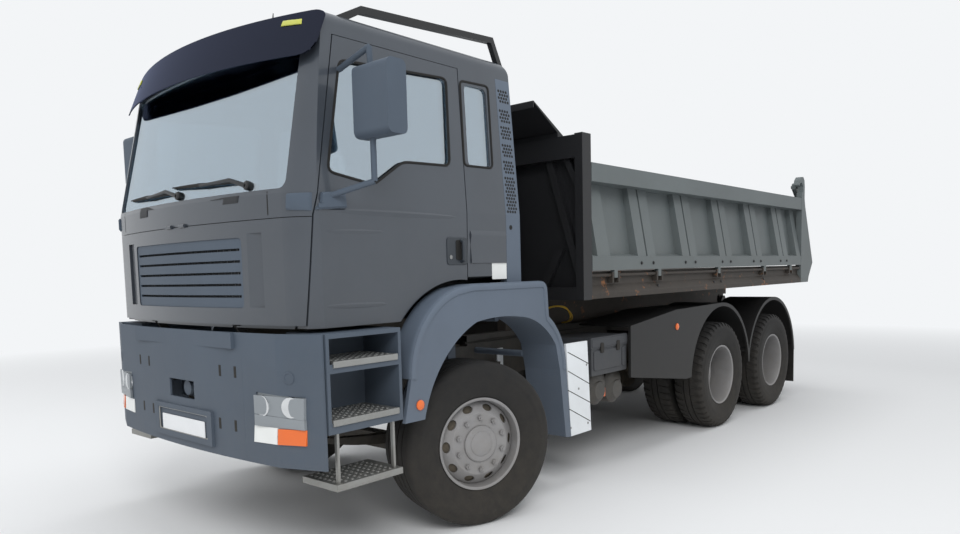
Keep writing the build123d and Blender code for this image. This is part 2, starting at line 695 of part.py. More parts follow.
with BuildPart() as front_region:
    with BuildSketch(SIDE.offset(-1500)) as zone:
        seam_end = ((-1000, ROOF_SEAM), (-1800, ROOF_SEAM))
        Polygon((-1800, 900), (DOOR_SHUT[0][0], 900), *DOOR_SHUT, *seam_end, align=None)
    extrude(zone.sketch, amount=3000)

FLAP_KNUCKLES = (70.0,)
KNUCKLE_W = 22.0
KNUCKLE_R = 11.0
FLAP_PIN_R = 5.0
FLAP_PIN_Y = -1436.0
FLAP_PIN_Z = 1936.0
with BuildPart() as cab_front:
    add((skin & front_region.part) & half_space(z=(FLAP_TOP + 4, ROOF_SEAM)))
    add(((outer - flap_lining) & front_region.part) & half_space(z=(FLAP_TOP + 4, FLAP_TOP + 50)))
    add(((behind_flap - flap_lining) & front_region.part) & half_space(z=(CAB_BOTTOM, FLAP_TOP + 4)))
    add(screen_prism(0), mode=Mode.SUBTRACT)
    for side in (1, -1):
        add(door_open[side], mode=Mode.SUBTRACT)
        slot_x = sorted((side * (TILT_ARM_X[0] - 8), side * TILT_ARM_X[1]))
        slot = ((-1450, CAB_BOTTOM - 10), (-1280, CAB_BOTTOM - 10), (-1280, 1415), (-1450, 1415))
        add(side_prism(slot, slot_x, 1), mode=Mode.SUBTRACT)
        rod_x(
            sorted((side * TILT_ARM_X[1], side * TILT_PIN_END)), TILT_Y, TILT_Z, TILT_PIN_R + RUN,
            mode=Mode.SUBTRACT
        )
        for knuckle_x in FLAP_KNUCKLES:
            cab_end = sorted((side * (knuckle_x - KNUCKLE_W), side * (knuckle_x + 2 * KNUCKLE_W)))
            rod_x(cab_end, FLAP_PIN_Y, FLAP_PIN_Z, KNUCKLE_R)
            middle = sorted((side * (knuckle_x - 1), side * (knuckle_x + KNUCKLE_W + 1)))
            rod_x(middle, FLAP_PIN_Y, FLAP_PIN_Z, KNUCKLE_R + 2, mode=Mode.SUBTRACT)
            rod_x(middle, FLAP_PIN_Y, FLAP_PIN_Z, FLAP_PIN_R)
save(cab_front, "cab_front")

DOOR_AXIS = (1112.0, -1281.0)
SCOOP = ((662.0, -1392.0), (662.0, -1450.0), (805.0, -1450.0), (805.0, -1350.0))
SCOOP_Z = (1462.0, 1862.0)
TILT_POCKET_X = (462.0, 540.0)
TILT_POCKET_REACH = 31.0
FLAP_RAIL_ROOM = ((-1381, 1300), (-1200, 1300), (-1200, 1457.5), (-1381, 1457.5))


def tilt_pocket(side, back_y):
    """Room round one tilt arm's head, from just ahead of its pin back to a given distance."""
    pocket_x = sorted((side * TILT_POCKET_X[0], side * TILT_POCKET_X[1]))
    low = (TILT_Y - TILT_POCKET_REACH, 1300)
    top = TILT_Z + TILT_POCKET_REACH
    return side_prism((low, (back_y, 1300), (back_y, top), (low[0], top)), pocket_x, 1)


def around(x, y, radius):
    """Upright cylinder through the cab's floor about a line at x, y."""
    with BuildPart() as column:
        with BuildSketch(DATUM.offset(CAB_BOTTOM - 50)) as circle:
            with Locations((x, y)):
                Circle(radius)
        extrude(circle.sketch, amount=120)
    return column.part


with BuildPart() as front_flap:
    add(((outer - cab_volume(FLAP_T)) & front_region.part) & half_space(z=(FLAP_BOTTOM, FLAP_TOP)))
    with BuildSketch(NOSE.offset(1600)) as mouth:
        with Locations((0, 1650)):
            RectangleRounded(2 * 640, 385, 25)
    extrude(mouth.sketch, amount=-400, mode=Mode.SUBTRACT)
    add(side_prism(FLAP_RAIL_ROOM, (-640, 640), 1), mode=Mode.SUBTRACT)
    for side in (1, -1):
        add(door_open[side], mode=Mode.SUBTRACT)
        add(tilt_pocket(side, CAB_CORNER_Y), mode=Mode.SUBTRACT)
        with BuildSketch(DATUM.offset(SCOOP_Z[0])) as scoop:
            Polygon(*[(side * x, y) for x, y in SCOOP], align=None)
        extrude(scoop.sketch, amount=SCOOP_Z[1] - SCOOP_Z[0], mode=Mode.SUBTRACT)
        for knuckle_x in FLAP_KNUCKLES:
            for start in (knuckle_x - KNUCKLE_W - 1, knuckle_x + KNUCKLE_W - 1):
                cab_end = sorted((side * start, side * (start + KNUCKLE_W + 2)))
                rod_x(cab_end, FLAP_PIN_Y, FLAP_PIN_Z, KNUCKLE_R + 2, mode=Mode.SUBTRACT)
            middle = sorted((side * knuckle_x, side * (knuckle_x + KNUCKLE_W)))
            rod_x(middle, FLAP_PIN_Y, FLAP_PIN_Z, KNUCKLE_R)
            rod_x(middle, FLAP_PIN_Y, FLAP_PIN_Z, FLAP_PIN_R + RUN, mode=Mode.SUBTRACT)
save(front_flap, "front_flap")

LOUVRES = 6
with BuildPart() as grille:
    with BuildSketch(NOSE.offset(1600)) as frame:
        with Locations((0, 1650)):
            RectangleRounded(2 * (640 - SEAT), 385 - 2 * SEAT, 25)
    extrude(frame.sketch, amount=-400)
    add(cab_volume(6) - cab_volume(FLAP_T - 4), mode=Mode.INTERSECT)
    with BuildSketch(NOSE.offset(1600)) as slots:
        with GridLocations(0, 385 / LOUVRES, 1, LOUVRES - 1):
            with Locations((0, 1650)):
                Rectangle(2 * 615, 14)
    extrude(slots.sketch, amount=-400, mode=Mode.SUBTRACT)
save(grille, "grille")

with BuildPart() as cab_roof:
    add(skin & half_space(z=(ROOF_SEAM, 3400)))
save(cab_roof, "cab_roof")

with BuildPart() as cab_back:
    add(skin & half_space(y=(CAB_REAR - CAB_WALL - 30, 1000), z=(CAB_BOTTOM, ROOF_SEAM)))
    tunnel_end = ((0, 900), (900, 900), (900, TUNNEL_TOP - 25), (0, TUNNEL_TOP - 25))
    tunnel_room = side_prism(tunnel_end, (-TUNNEL_HALF_W + 25, TUNNEL_HALF_W - 25), 1)
    back_zone = half_space(y=(CAB_REAR - CAB_WALL - 60, CAB_REAR + 200), z=(0, TUNNEL_TOP))
    add(back_zone & tunnel_room, mode=Mode.SUBTRACT)
    for side in (1, -1):
        add(
            side_prism(
                ((STRIP_FRONT, 1300), (STRIP_FRONT, 3200), (900, 3200), (900, 1300)),
                (side * (CAB_TOP_HALF_W - 50), side * 1400), 1
            ),
            mode=Mode.SUBTRACT
        )
save(cab_back, "cab_back")

with BuildPart() as intake_grilles:
    add(skin & half_space(y=(STRIP_FRONT + 2, 1000), z=(1500, ROOF_SEAM)))
    keep = [
        side_prism(
            ((STRIP_FRONT, 1300), (STRIP_FRONT, 3200), (900, 3200), (900, 1300)),
            (side * (CAB_TOP_HALF_W - 50 + SEAT), side * 1400), 1
        ) for side in (1, -1)
    ]
    add(keep[0] + keep[1], mode=Mode.INTERSECT)
save(intake_grilles, "intake_grilles")

with BuildPart() as cab_sides:
    add(skin & half_space(y=(-140, STRIP_FRONT), z=(CAB_BOTTOM + 250, ROOF_SEAM)))
    for side in (1, -1):
        add(door_open[side], mode=Mode.SUBTRACT)
        add(side_prism(QUARTER_WINDOW, (side * 900, side * 1300), 40), mode=Mode.SUBTRACT)
    inner_half = CAB_TOP_HALF_W - CAB_WALL - 20
    side_zone = ((-500, 1300), (-500, 3300), (1000, 3300), (1000, 1300))
    between = side_prism(side_zone, (-inner_half, inner_half), 1)
    add(half_space(y=(-500, 1000), z=(1300, 3400)) - between, mode=Mode.INTERSECT)
save(cab_sides, "cab_sides")

doors = {}
for side, hand in ((1, "left"), (-1, "right")):
    window = side_prism(DOOR_WINDOW, (side * 700, side * 1400), 50)
    with BuildPart() as door:
        add(skin & door_prism(-SHUT_GAP / 2, (side * 800, side * 1400)))
        add(window, mode=Mode.SUBTRACT)
    doors[side] = door.part
    save(door, f"door_{hand}")
    with BuildPart() as door_glass:
        pane = side_prism(DOOR_WINDOW, (side * 700, side * 1400), 50, grow=-SEAT)
        add((cab_volume(GLASS_INSET) - cab_volume(GLASS_INSET + GLASS_T)) & pane)
    save(door_glass, f"door_glass_{hand}")

with BuildPart() as cab_glass:
    layer = cab_volume(GLASS_INSET) - cab_volume(GLASS_INSET + GLASS_T)
    add(layer & screen_prism(-SEAT))
    for side in (1, -1):
        add(layer & side_prism(QUARTER_WINDOW, (side * 900, side * 1300), 40, grow=-SEAT))
save(cab_glass, "cab_glass")

FLOOR_T = 45.0
TUNNEL_T = 25.0
DOOR_EDGE_SWING = 166.0


def wall_top(side):
    """Shelf over one wheelhouse, from the tunnel side of its wall out to the doors."""
    shelf = side_prism(
        ((-500, 1585), (CAB_REAR - CAB_WALL, 1585), (CAB_REAR - CAB_WALL, 1600), (-500, 1600)),
        sorted((side * 868, side * 1300)), 1,
    )
    return shelf & inner


with BuildPart() as cab_floor:
    add(inner & half_space(z=(CAB_BOTTOM, CAB_BOTTOM + FLOOR_T)))
    add(behind_flap - flap_lining, mode=Mode.SUBTRACT)
    for side in (1, -1):
        add(around(side * DOOR_AXIS[0], DOOR_AXIS[1], DOOR_EDGE_SWING), mode=Mode.SUBTRACT)
        add(tilt_pocket(side, -1298), mode=Mode.SUBTRACT)
    for side in (1, -1):
        above_floor = ((-2000, CAB_BOTTOM - 5), (-2000, 3000), (2000, 3000), (2000, CAB_BOTTOM - 5))
        door_room = door_prism(-SHUT_GAP, (side * 900, side * 1400))
        add(door_room - side_prism(above_floor, (side * 899, side * 1401), 1), mode=Mode.SUBTRACT)
    add(
        side_prism(
            ((-1900, 1000), (1000, 1000), (1000, CAB_BOTTOM + 200), (-1900, CAB_BOTTOM + 200)),
            (-TUNNEL_HALF_W, TUNNEL_HALF_W), 1
        ) & half_space(y=(-900, 1000)),
        mode=Mode.SUBTRACT
    )
    tunnel_y = (-900, CAB_REAR - CAB_WALL)
    tunnel_outer = (
        (tunnel_y[0], CAB_BOTTOM), (tunnel_y[1], CAB_BOTTOM), (tunnel_y[1], TUNNEL_TOP),
        (tunnel_y[0], TUNNEL_TOP),
    )
    add(side_prism(tunnel_outer, (-TUNNEL_HALF_W, TUNNEL_HALF_W), 1))
    tunnel_inner = (
        (tunnel_y[0] + TUNNEL_T, CAB_BOTTOM - 10), (tunnel_y[1] + 10, CAB_BOTTOM - 10),
        (tunnel_y[1] + 10, TUNNEL_TOP - TUNNEL_T), (tunnel_y[0] + TUNNEL_T, TUNNEL_TOP - TUNNEL_T),
    )
    inner_half = TUNNEL_HALF_W - TUNNEL_T
    add(side_prism(tunnel_inner, (-inner_half, inner_half), 1), mode=Mode.SUBTRACT)
    for side in (1, -1):
        house_x = sorted((side * 870, side * 1300))
        house = ((-700, CAB_BOTTOM - 50), (700, CAB_BOTTOM - 50), (700, 1600), (-700, 1600))
        add(side_prism(house, house_x, 1), mode=Mode.SUBTRACT)
        wall = (
            (-725, CAB_BOTTOM), (CAB_REAR - CAB_WALL, CAB_BOTTOM), (CAB_REAR - CAB_WALL, 1600),
            (-500, 1600), (-725, 1500),
        )
        add(side_prism(wall, sorted((side * 868, side * 882)), 1))
        add(wall_top(side))
    add(cab_back.part, mode=Mode.SUBTRACT)
save(cab_floor, "cab_floor")

# Seats, dashboard and steering wheel
SEAT_X = 690.0
SEAT_W = 500.0
with BuildPart(DATUM) as seats:
    for side in (1, -1):
        seat_x = sorted((side * (SEAT_X - SEAT_W / 2), side * (SEAT_X + SEAT_W / 2)))
        slab(((-420, 1750), (-420, 1880), (60, 1850), (200, 2420), (320, 2400), (250, 1740)), seat_x)
        block(
            sorted((side * (SEAT_X - 150), side * (SEAT_X + 150))), (-330, 190),
            (CAB_BOTTOM + FLOOR_T, 1745)
        )
        block(sorted((side * (SEAT_X - 130), side * (SEAT_X + 130))), (215, 320), (2400, 2600))
save(seats, "seats")

DASH_HALF_W = 960.0
with BuildPart() as dashboard:
    with BuildSketch(SIDE.offset(-DASH_HALF_W)) as dash:
        Polygon(
            (-1500, 1700), (-1500, 2050), (-1180, 2060), (-1020, 2020), (-940, 1900), (-980, 1700),
            align=None
        )
    extrude(dash.sketch, amount=2 * DASH_HALF_W)
    add(flap_lining & cab_volume(CAB_WALL + 2), mode=Mode.INTERSECT)

WHEEL_X = 600.0
WHEEL_TILT = 30.0
with BuildPart() as steering_wheel:
    helm = Plane(
        origin=DATUM.from_local_coords(Vector(WHEEL_X, -760, 2060)), x_dir=(1, 0, 0),
        z_dir=(0, sin(radians(WHEEL_TILT)), cos(radians(WHEEL_TILT)))
    )
    with BuildSketch(helm) as rim:
        Circle(225)
        Circle(193, mode=Mode.SUBTRACT)
        Rectangle(400, 45)
        Circle(60)
    extrude(rim.sketch, amount=28)
    with BuildSketch(helm) as column:
        Circle(35)
    extrude(column.sketch, amount=-400)
    add(dashboard.part)
save(steering_wheel, "dashboard")

# Outside trim of the cab: visor, roof bars, mirrors
VISOR_T = 8.0
with BuildPart() as sun_visor:
    with BuildSketch(DATUM.offset(2770)) as plan:
        with BuildLine():
            front = ThreePointArc((-1085, -1195), (0, -1400), (1085, -1195))
            Line(front @ 1, (1085, -1195 + VISOR_T * 1.2))
            back = ThreePointArc(
                (1085, -1195 + VISOR_T * 1.2), (0, -1400 + VISOR_T * 1.2), (-1085, -1195 + VISOR_T * 1.2)
            )
            Line(back @ 1, front @ 0)
        make_face()
    extrude(plan.sketch, amount=270, dir=Vector(0, 0.42, 1).normalized())
    for x in (-700, 0, 700):
        add(side_prism(((-1420, 2890), (-1150, 2890), (-1150, 2905), (-1420, 2905)), (x - 15, x + 15), 1))
    add(cab_front.part, mode=Mode.SUBTRACT)
save(sun_visor, "sun_visor")

BAR_X = 985.0
BAR_R = 19.0
with BuildPart() as roof_bars:
    for side in (1, -1):
        with BuildSketch(SIDE.offset(side * BAR_X - BAR_R)) as hoop:
            with BuildLine():
                Polyline(
                    (-960, 3030), (-790, 3120), (350, 3190), (455, 2990), (417, 2975), (330, 3150),
                    (-785, 3080), (-905, 3012), close=True
                )
            make_face()
        extrude(hoop.sketch, amount=2 * BAR_R)
    add(outer, mode=Mode.SUBTRACT)
save(roof_bars, "roof_bars")

MIRROR_X = (1230.0, 1500.0)
for side, hand in ((1, "left"), (-1, "right")):
    with BuildPart(DATUM) as mirror_frame:
        block(sorted((side * MIRROR_X[0], side * MIRROR_X[1])), (-1060, -930), (2330, 2700))
        fillet(mirror_frame.edges().filter_by(Axis.X), 35)
        for start, end in (
            ((1060, -1010, 2720), (1310, -1005, 2790)), ((1310, -1005, 2790), (1310, -1000, 2690)),
            ((1310, -1000, 2340), (1310, -1000, 2110)), ((1310, -1000, 2110), (1115, -1150, 2040)),
        ):
            bar((side * start[0], start[1], start[2]), (side * end[0], end[1], end[2]), 16)
    with BuildPart() as mirror:
        add(mirror_frame.part)
        add(outer, mode=Mode.SUBTRACT)
        add(doors[side], mode=Mode.SUBTRACT)
    save(mirror, f"mirror_{hand}")

# Tipper floor: plate on cross members between two edge channels, two runners on the subframe
EDGE_X = 1205.0
EDGE_D = 110.0
EDGE_WALL = 12.0
CROSS_PITCH = 400.0
CROSS_D = 130.0
CROSS_W = 55.0
RUNNER_X = 355.0
RUNNER_W = 90.0
FLOOR_FRONT = BED_FRONT + POST_D
FLOOR_REAR = BED_REAR - 80.0
FLOOR_UNDER = BED_FLOOR_TOP - BED_FLOOR_T
HOIST_EYE_R = 36.0
HOIST_EYE_DROP = 12.0
HOIST_EYE_GAP = 11.0
HOIST_PAD_RISE = 58.0
DROP_HINGE_X = 1228.0
DROP_HINGE_Z = 1575.0
DROP_HINGES = (1500.0, 2216.0, 3433.0, 4627.0, 5450.0)
DROP_PIN_R = 14.0
DROP_EAR_W = 50.0
DROP_LUG_W = 24.0
DROP_EAR_SWING = 27.0
LUG_GAP = 12.0

with BuildPart(DATUM) as bed_floor:
    block((-EDGE_X, EDGE_X), (FLOOR_FRONT, FLOOR_REAR), (FLOOR_UNDER, BED_FLOOR_TOP))
    block((-1150, 1150), (FLOOR_REAR, BED_REAR + 230), (FLOOR_UNDER, BED_FLOOR_TOP))
    for side in (1, -1):
        edge = sorted((side * (EDGE_X - EDGE_D), side * EDGE_X))
        block(edge, (FLOOR_FRONT, FLOOR_REAR), (BED_UNDER, FLOOR_UNDER))
        hollow = sorted((side * (EDGE_X - EDGE_D), side * (EDGE_X - EDGE_WALL)))
        ends = (FLOOR_FRONT + EDGE_WALL, FLOOR_REAR - EDGE_WALL)
        block(hollow, ends, (BED_UNDER + EDGE_WALL, FLOOR_UNDER), mode=Mode.SUBTRACT)
        lip = sorted((side * EDGE_X, side * BED_HALF_W))
        runner = sorted((side * (RUNNER_X - RUNNER_W / 2), side * (RUNNER_X + RUNNER_W / 2)))
        block(runner, (FLOOR_FRONT, BED_HINGE_Y + 130), (SUBFRAME_TOP - 60 + SEAT, FLOOR_UNDER))
        slot = sorted((side * (RAIL_OUT_X - SUBFRAME_W - LUG_GAP), side * (RAIL_OUT_X + LUG_GAP)))
        slot_y = (BED_HINGE_Y - 130, BED_HINGE_Y + 130)
        block(slot, slot_y, (SUBFRAME_TOP - 80, BED_HINGE_Z + 75), mode=Mode.SUBTRACT)
        for hinge_y in DROP_HINGES:
            pocket_y = (hinge_y - DROP_EAR_W / 2 - 5, hinge_y + DROP_EAR_W / 2 + 5)
            rod_y(side * DROP_HINGE_X, pocket_y, DROP_HINGE_Z, DROP_EAR_SWING + 6, mode=Mode.SUBTRACT)
            for lug_y in (hinge_y - DROP_EAR_W / 2 - 8 - DROP_LUG_W, hinge_y + DROP_EAR_W / 2 + 8):
                block(lip, (lug_y, lug_y + DROP_LUG_W), (DROP_HINGE_Z - 60, DROP_HINGE_Z + 20))
        rod_y(
            side * DROP_HINGE_X, (FLOOR_FRONT + EDGE_WALL, FLOOR_REAR - EDGE_WALL), DROP_HINGE_Z, DROP_PIN_R
        )
        cross_slab(
            ((side * (EDGE_X - 1), BED_UNDER), (side * BED_HALF_W, BED_UNDER),
             (side * BED_HALF_W, BED_UNDER + 38), (side * (EDGE_X - 1), BED_UNDER + 105)),
            (FLOOR_FRONT, FLOOR_REAR),
        )
    count = int((FLOOR_REAR - FLOOR_FRONT - EDGE_D) // CROSS_PITCH)
    for number in range(count + 1):
        cross_y = FLOOR_FRONT + EDGE_WALL + number * CROSS_PITCH
        block((-EDGE_X + 5, EDGE_X - 5), (cross_y, cross_y + CROSS_W), (FLOOR_UNDER - CROSS_D, FLOOR_UNDER))
    block((-EDGE_X + 5, EDGE_X - 5), (FLOOR_REAR - 100, FLOOR_REAR), (BED_UNDER, FLOOR_UNDER))
    block((-90, 90), (HOIST_Y - 90, HOIST_Y + 90), (HOIST_TOP_Z + HOIST_PAD_RISE, FLOOR_UNDER))
    seat_z = HOIST_TOP_Z - HOIST_EYE_DROP + HOIST_EYE_R + HOIST_EYE_GAP
    block((-RUNNER_X, RUNNER_X), (HOIST_Y - 40, HOIST_Y + 40), (seat_z, FLOOR_UNDER))
    for side in (1, -1):
        ear = sorted((side * (RAIL_OUT_X - SUBFRAME_W + LUG_T + 4), side * (RAIL_OUT_X - LUG_T - 4)))
        slab(
            ((BED_HINGE_Y - 62, BED_HINGE_Z + 90), (BED_HINGE_Y - 50, BED_HINGE_Z - 28),
             (BED_HINGE_Y - 30, BED_HINGE_Z - 50), (BED_HINGE_Y + 30, BED_HINGE_Z - 50),
             (BED_HINGE_Y + 50, BED_HINGE_Z - 28), (BED_HINGE_Y + 62, BED_HINGE_Z + 90)), ear,
        )
        bore = Plane(origin=(ear[0], FRONT_AXLE_Y + BED_HINGE_Y, BED_HINGE_Z), z_dir=(1, 0, 0))
        with BuildSketch(bore) as eye:
            Circle(HINGE_PIN_R + RUN)
        extrude(eye.sketch, amount=ear[1] - ear[0], mode=Mode.SUBTRACT)
save(bed_floor, "bed_floor")

# Front wall: posts, plate, top beam, braces and the canopy that leans over the cab
WALL_Y = (BED_FRONT + 75.0, BED_FRONT + 85.0)
BEAM_Z0 = 2446.0
BEAM_Z1 = 2612.0
CANOPY_HALF = 1020.0
# Flat braces on the front wall: top end (x, z), bottom end (x, z), width
FRONT_BRACES = (
    ((921, 2460), (1195, 1560), 60),
    ((1078, 2460), (1190, 2230), 50),
    ((1012, 1775), (835, 1454), 70),
)

with BuildPart(DATUM) as bed_front_wall:
    for side in (1, -1):
        post = sorted((side * (BED_HALF_W - 68), side * BED_HALF_W))
        block(post, (BED_FRONT, FLOOR_FRONT), (BED_UNDER - 5, POST_TOP))
    block((-(BED_HALF_W - 60), BED_HALF_W - 60), WALL_Y, (BED_UNDER, BEAM_Z1))
    block((-(BED_HALF_W - 60), BED_HALF_W - 60), (BED_FRONT, FLOOR_FRONT), (BEAM_Z0, BEAM_Z1))
    block((-(BED_HALF_W - 60), BED_HALF_W - 60), (BED_FRONT, FLOOR_FRONT), (BED_UNDER - 5, BED_UNDER + 90))
    for side in (1, -1):
        for (x0, z0), (x1, z1), width in FRONT_BRACES:
            cross_slab(
                ((side * (x0 - width / 2), z0), (side * (x0 + width / 2), z0),
                 (side * (x1 + width / 2), z1), (side * (x1 - width / 2), z1)), (BED_FRONT + 30, WALL_Y[0]),
            )
        block(sorted((side * 440, side * 500)), (BED_FRONT + 20, WALL_Y[0]), (BED_UNDER + 90, BEAM_Z0))
    slab(
        ((FLOOR_FRONT, BEAM_Z1 - 2), (FLOOR_FRONT, BEAM_Z1 + 8), (770, 2838), (762, 2838), (762, 2790),
         (770, 2790), (770, 2826), (1060, BEAM_Z1 + 36), (1060, BEAM_Z1 - 2)), (-CANOPY_HALF, CANOPY_HALF),
    )
save(bed_front_wall, "bed_front_wall")

# Rear corner posts with their gussets and the hooks the tailgate hangs in
GATE_PIN_Y = 5868.0
GATE_PIN_Z = 2560.0
GATE_PIN_R = 20.0
GUSSET_X = 1185.0
with BuildPart(DATUM) as bed_rear_posts:
    for side in (1, -1):
        post = sorted((side * GUSSET_X, side * BED_HALF_W))
        slab(
            ((FLOOR_REAR, BED_UNDER), (FLOOR_REAR, 2470), (5838, 2500), (5838, 2560), (5790, 2600),
             (5740, 2590), (5700, 2555), (5690, 2570), (5715, 2625), (5770, 2665), (5840, 2670),
             (5885, 2630), (5898, 2560), (5898, 2415), (5925, 2320), (6225, 1640), (6090, 1470),
             (6060, BED_UNDER)), post,
        )
        rod_x(sorted((side * 1100, side * GUSSET_X)), GATE_PIN_Y, GATE_PIN_Z, GATE_PIN_R)
        block(
            sorted((side * (EDGE_X - EDGE_D), side * GUSSET_X)), (FLOOR_REAR, BED_REAR + 180),
            (BED_UNDER, FLOOR_UNDER - SEAT),
        )
    block((-GUSSET_X, GUSSET_X), (FLOOR_REAR, BED_REAR + 60), (BED_UNDER, FLOOR_UNDER - SEAT))
save(bed_rear_posts, "bed_rear_posts")

# Drop sides: two rails, a sheet, and folded ribs that lean in under the top rail
WALL_ENDS = (FLOOR_FRONT + MOVING_GAP, FLOOR_REAR - MOVING_GAP)
WALL_FOOT = BED_FLOOR_TOP + MOVING_GAP
WALL_IN_X = 1160.0
WALL_TOP_IN_X = 1085.0
SHEET_T = 12.0
RIB_TOP_D = 62.0
RIB_PAIRS = (2000.0, 2800.0, 3600.0, 4400.0, 5200.0)
RIB_PAIR_W = 300.0
GROOVE_W = 24.0
END_RIBS = ((1240.0, 1420.0), (5650.0, 5780.0))
RAIL_LOW = (SILL_TOP, 2277.0)


def side_wall_part(side):
    """One drop side: the sheet leans in from the lower rail to the back of the top rail, ribs outside it."""
    inner = side * WALL_IN_X
    top_inner = side * WALL_TOP_IN_X
    rib_outline = (
        (inner, RAIL_LOW[0]), (side * (BED_HALF_W - 4), RAIL_LOW[0]),
        (side * (WALL_TOP_IN_X + RIB_TOP_D), RAIL_LOW[1]), (top_inner, RAIL_LOW[1]),
    )
    with BuildPart(DATUM) as wall:
        cross_slab(
            ((inner, WALL_FOOT), (side * BED_HALF_W, WALL_FOOT), (side * BED_HALF_W, RAIL_LOW[0]),
             (side * (WALL_IN_X + SHEET_T), RAIL_LOW[0] + 22),
             (side * (WALL_TOP_IN_X + SHEET_T), RAIL_LOW[1]), (side * BED_HALF_W, RAIL_LOW[1]),
             (side * BED_HALF_W, WALL_TOP), (top_inner, WALL_TOP), (top_inner, RAIL_LOW[1]),
             (inner, RAIL_LOW[0])),
            WALL_ENDS,
        )
        for rib_y in RIB_PAIRS:
            for start in (rib_y - RIB_PAIR_W / 2, rib_y + GROOVE_W / 2):
                cross_slab(rib_outline, (start, start + (RIB_PAIR_W - GROOVE_W) / 2))
        for rib_span in END_RIBS:
            cross_slab(rib_outline, rib_span)
        ear = sorted((side * (EDGE_X + MOVING_GAP), side * BED_HALF_W))
        for hinge_y in DROP_HINGES:
            block(ear, (hinge_y - DROP_EAR_W / 2, hinge_y + DROP_EAR_W / 2), (DROP_HINGE_Z - 22, WALL_FOOT))
            with BuildSketch(NOSE.offset(-(hinge_y - DROP_EAR_W / 2))) as bore:
                with Locations((side * DROP_HINGE_X, DROP_HINGE_Z)):
                    Circle(DROP_PIN_R + RUN)
            extrude(bore.sketch, amount=-DROP_EAR_W, mode=Mode.SUBTRACT)
    return wall.part


for side, hand in ((1, "left"), (-1, "right")):
    with BuildPart() as side_wall:
        add(side_wall_part(side))
    save(side_wall, f"side_wall_{hand}")

# Tailgate: a leaning panel with ribs, hung from the posts by two arms
GATE_X = GUSSET_X - MOVING_GAP
GATE_TOP = (5925.0, 2440.0)
GATE_FOOT = (6222.0, 1625.0)
GATE_T = 45.0
with BuildPart(DATUM) as tailgate:

    slab(
        (GATE_TOP, (GATE_TOP[0] + GATE_T, GATE_TOP[1]), (GATE_FOOT[0] + GATE_T, GATE_FOOT[1]), GATE_FOOT),
        (-GATE_X, GATE_X),
    )
    for rib_x in (-900, -450, 0, 450, 900):
        slab(
            ((GATE_TOP[0] + 30, GATE_TOP[1] - 60), (GATE_TOP[0] + 95, GATE_TOP[1] - 100),
             (GATE_FOOT[0] + 70, GATE_FOOT[1] + 60), (GATE_FOOT[0] + 30, GATE_FOOT[1] + 10)),
            (rib_x - 60, rib_x + 60),
        )
    for side in (1, -1):
        arm = sorted((side * 1120, side * 1165))
        slab(
            ((GATE_PIN_Y - 45, GATE_PIN_Z - 30), (GATE_PIN_Y - 45, GATE_PIN_Z + 30),
             (GATE_PIN_Y - 20, GATE_PIN_Z + 45), (GATE_PIN_Y + 25, GATE_PIN_Z + 45),
             (GATE_TOP[0] + 60, GATE_TOP[1] + 20), (GATE_TOP[0] + 80, GATE_TOP[1] - 90),
             (GATE_TOP[0] + 30, GATE_TOP[1] - 60), (GATE_TOP[0] + 10, GATE_TOP[1])), arm,
        )
        with BuildSketch(SIDE.offset(arm[0])) as bore:
            with Locations((GATE_PIN_Y, GATE_PIN_Z)):
                Circle(GATE_PIN_R + RUN)
        extrude(bore.sketch, amount=arm[1] - arm[0], mode=Mode.SUBTRACT)
save(tailgate, "tailgate")

# Tipping ram: barrel in a cradle between the subframe rails, three stages and an eye under the floor
STAGES = 3
BARREL_R = 95.0
STAGE_STEP = 14.0
BARREL_FOOT = HOIST_PIVOT_Z - 615.0
BARREL_HEAD = HOIST_PIVOT_Z + 130.0
with BuildPart(DATUM) as hoist_barrel:
    rod_z(0, HOIST_Y, (BARREL_FOOT, BARREL_HEAD), BARREL_R)
    rod_x((-139.5, 139.5), HOIST_Y, HOIST_PIVOT_Z, TRUNNION_PIN_R)
    rod_z(0, HOIST_Y, (BARREL_FOOT + 12, BARREL_HEAD), BARREL_R - STAGE_STEP, mode=Mode.SUBTRACT)
save(hoist_barrel, "hoist_barrel")

for number in range(1, STAGES + 1):
    stage_r = BARREL_R - STAGE_STEP * number - RUN
    stage_top = BARREL_HEAD + 12 * number if number < STAGES else HOIST_TOP_Z
    with BuildPart(DATUM) as hoist_stage:
        rod_z(0, HOIST_Y, (BARREL_FOOT + 14 * number, stage_top), stage_r)
        if number < STAGES:
            bore_r = BARREL_R - STAGE_STEP * (number + 1)
            rod_z(0, HOIST_Y, (BARREL_FOOT + 14 * number + 12, stage_top), bore_r, mode=Mode.SUBTRACT)
        else:
            with BuildSketch(SIDE.offset(-32)) as eye:
                with Locations((HOIST_Y, HOIST_TOP_Z - HOIST_EYE_DROP)):
                    Circle(HOIST_EYE_R)
            extrude(eye.sketch, amount=64)
    save(hoist_stage, f"hoist_stage_{number}")

# Bumper: a curved plastic shell with a step bar on top, lamp openings and a towing eye, on two brackets
BUMPER_Z = (612.0, 1326.0)
BUMPER_T = 12.0
BUMPER_END_Y = -1292.0
BUMPER_SIDE_Y = -1302.0
BUMPER_NOSE = -1458.0
BUMPER_CORNER = (940.0, -1403.0)
LAMP_WINDOW = ((770.0, 775.0), (765.0, 1008.0), (1100.0, 995.0), (1100.0, 795.0))


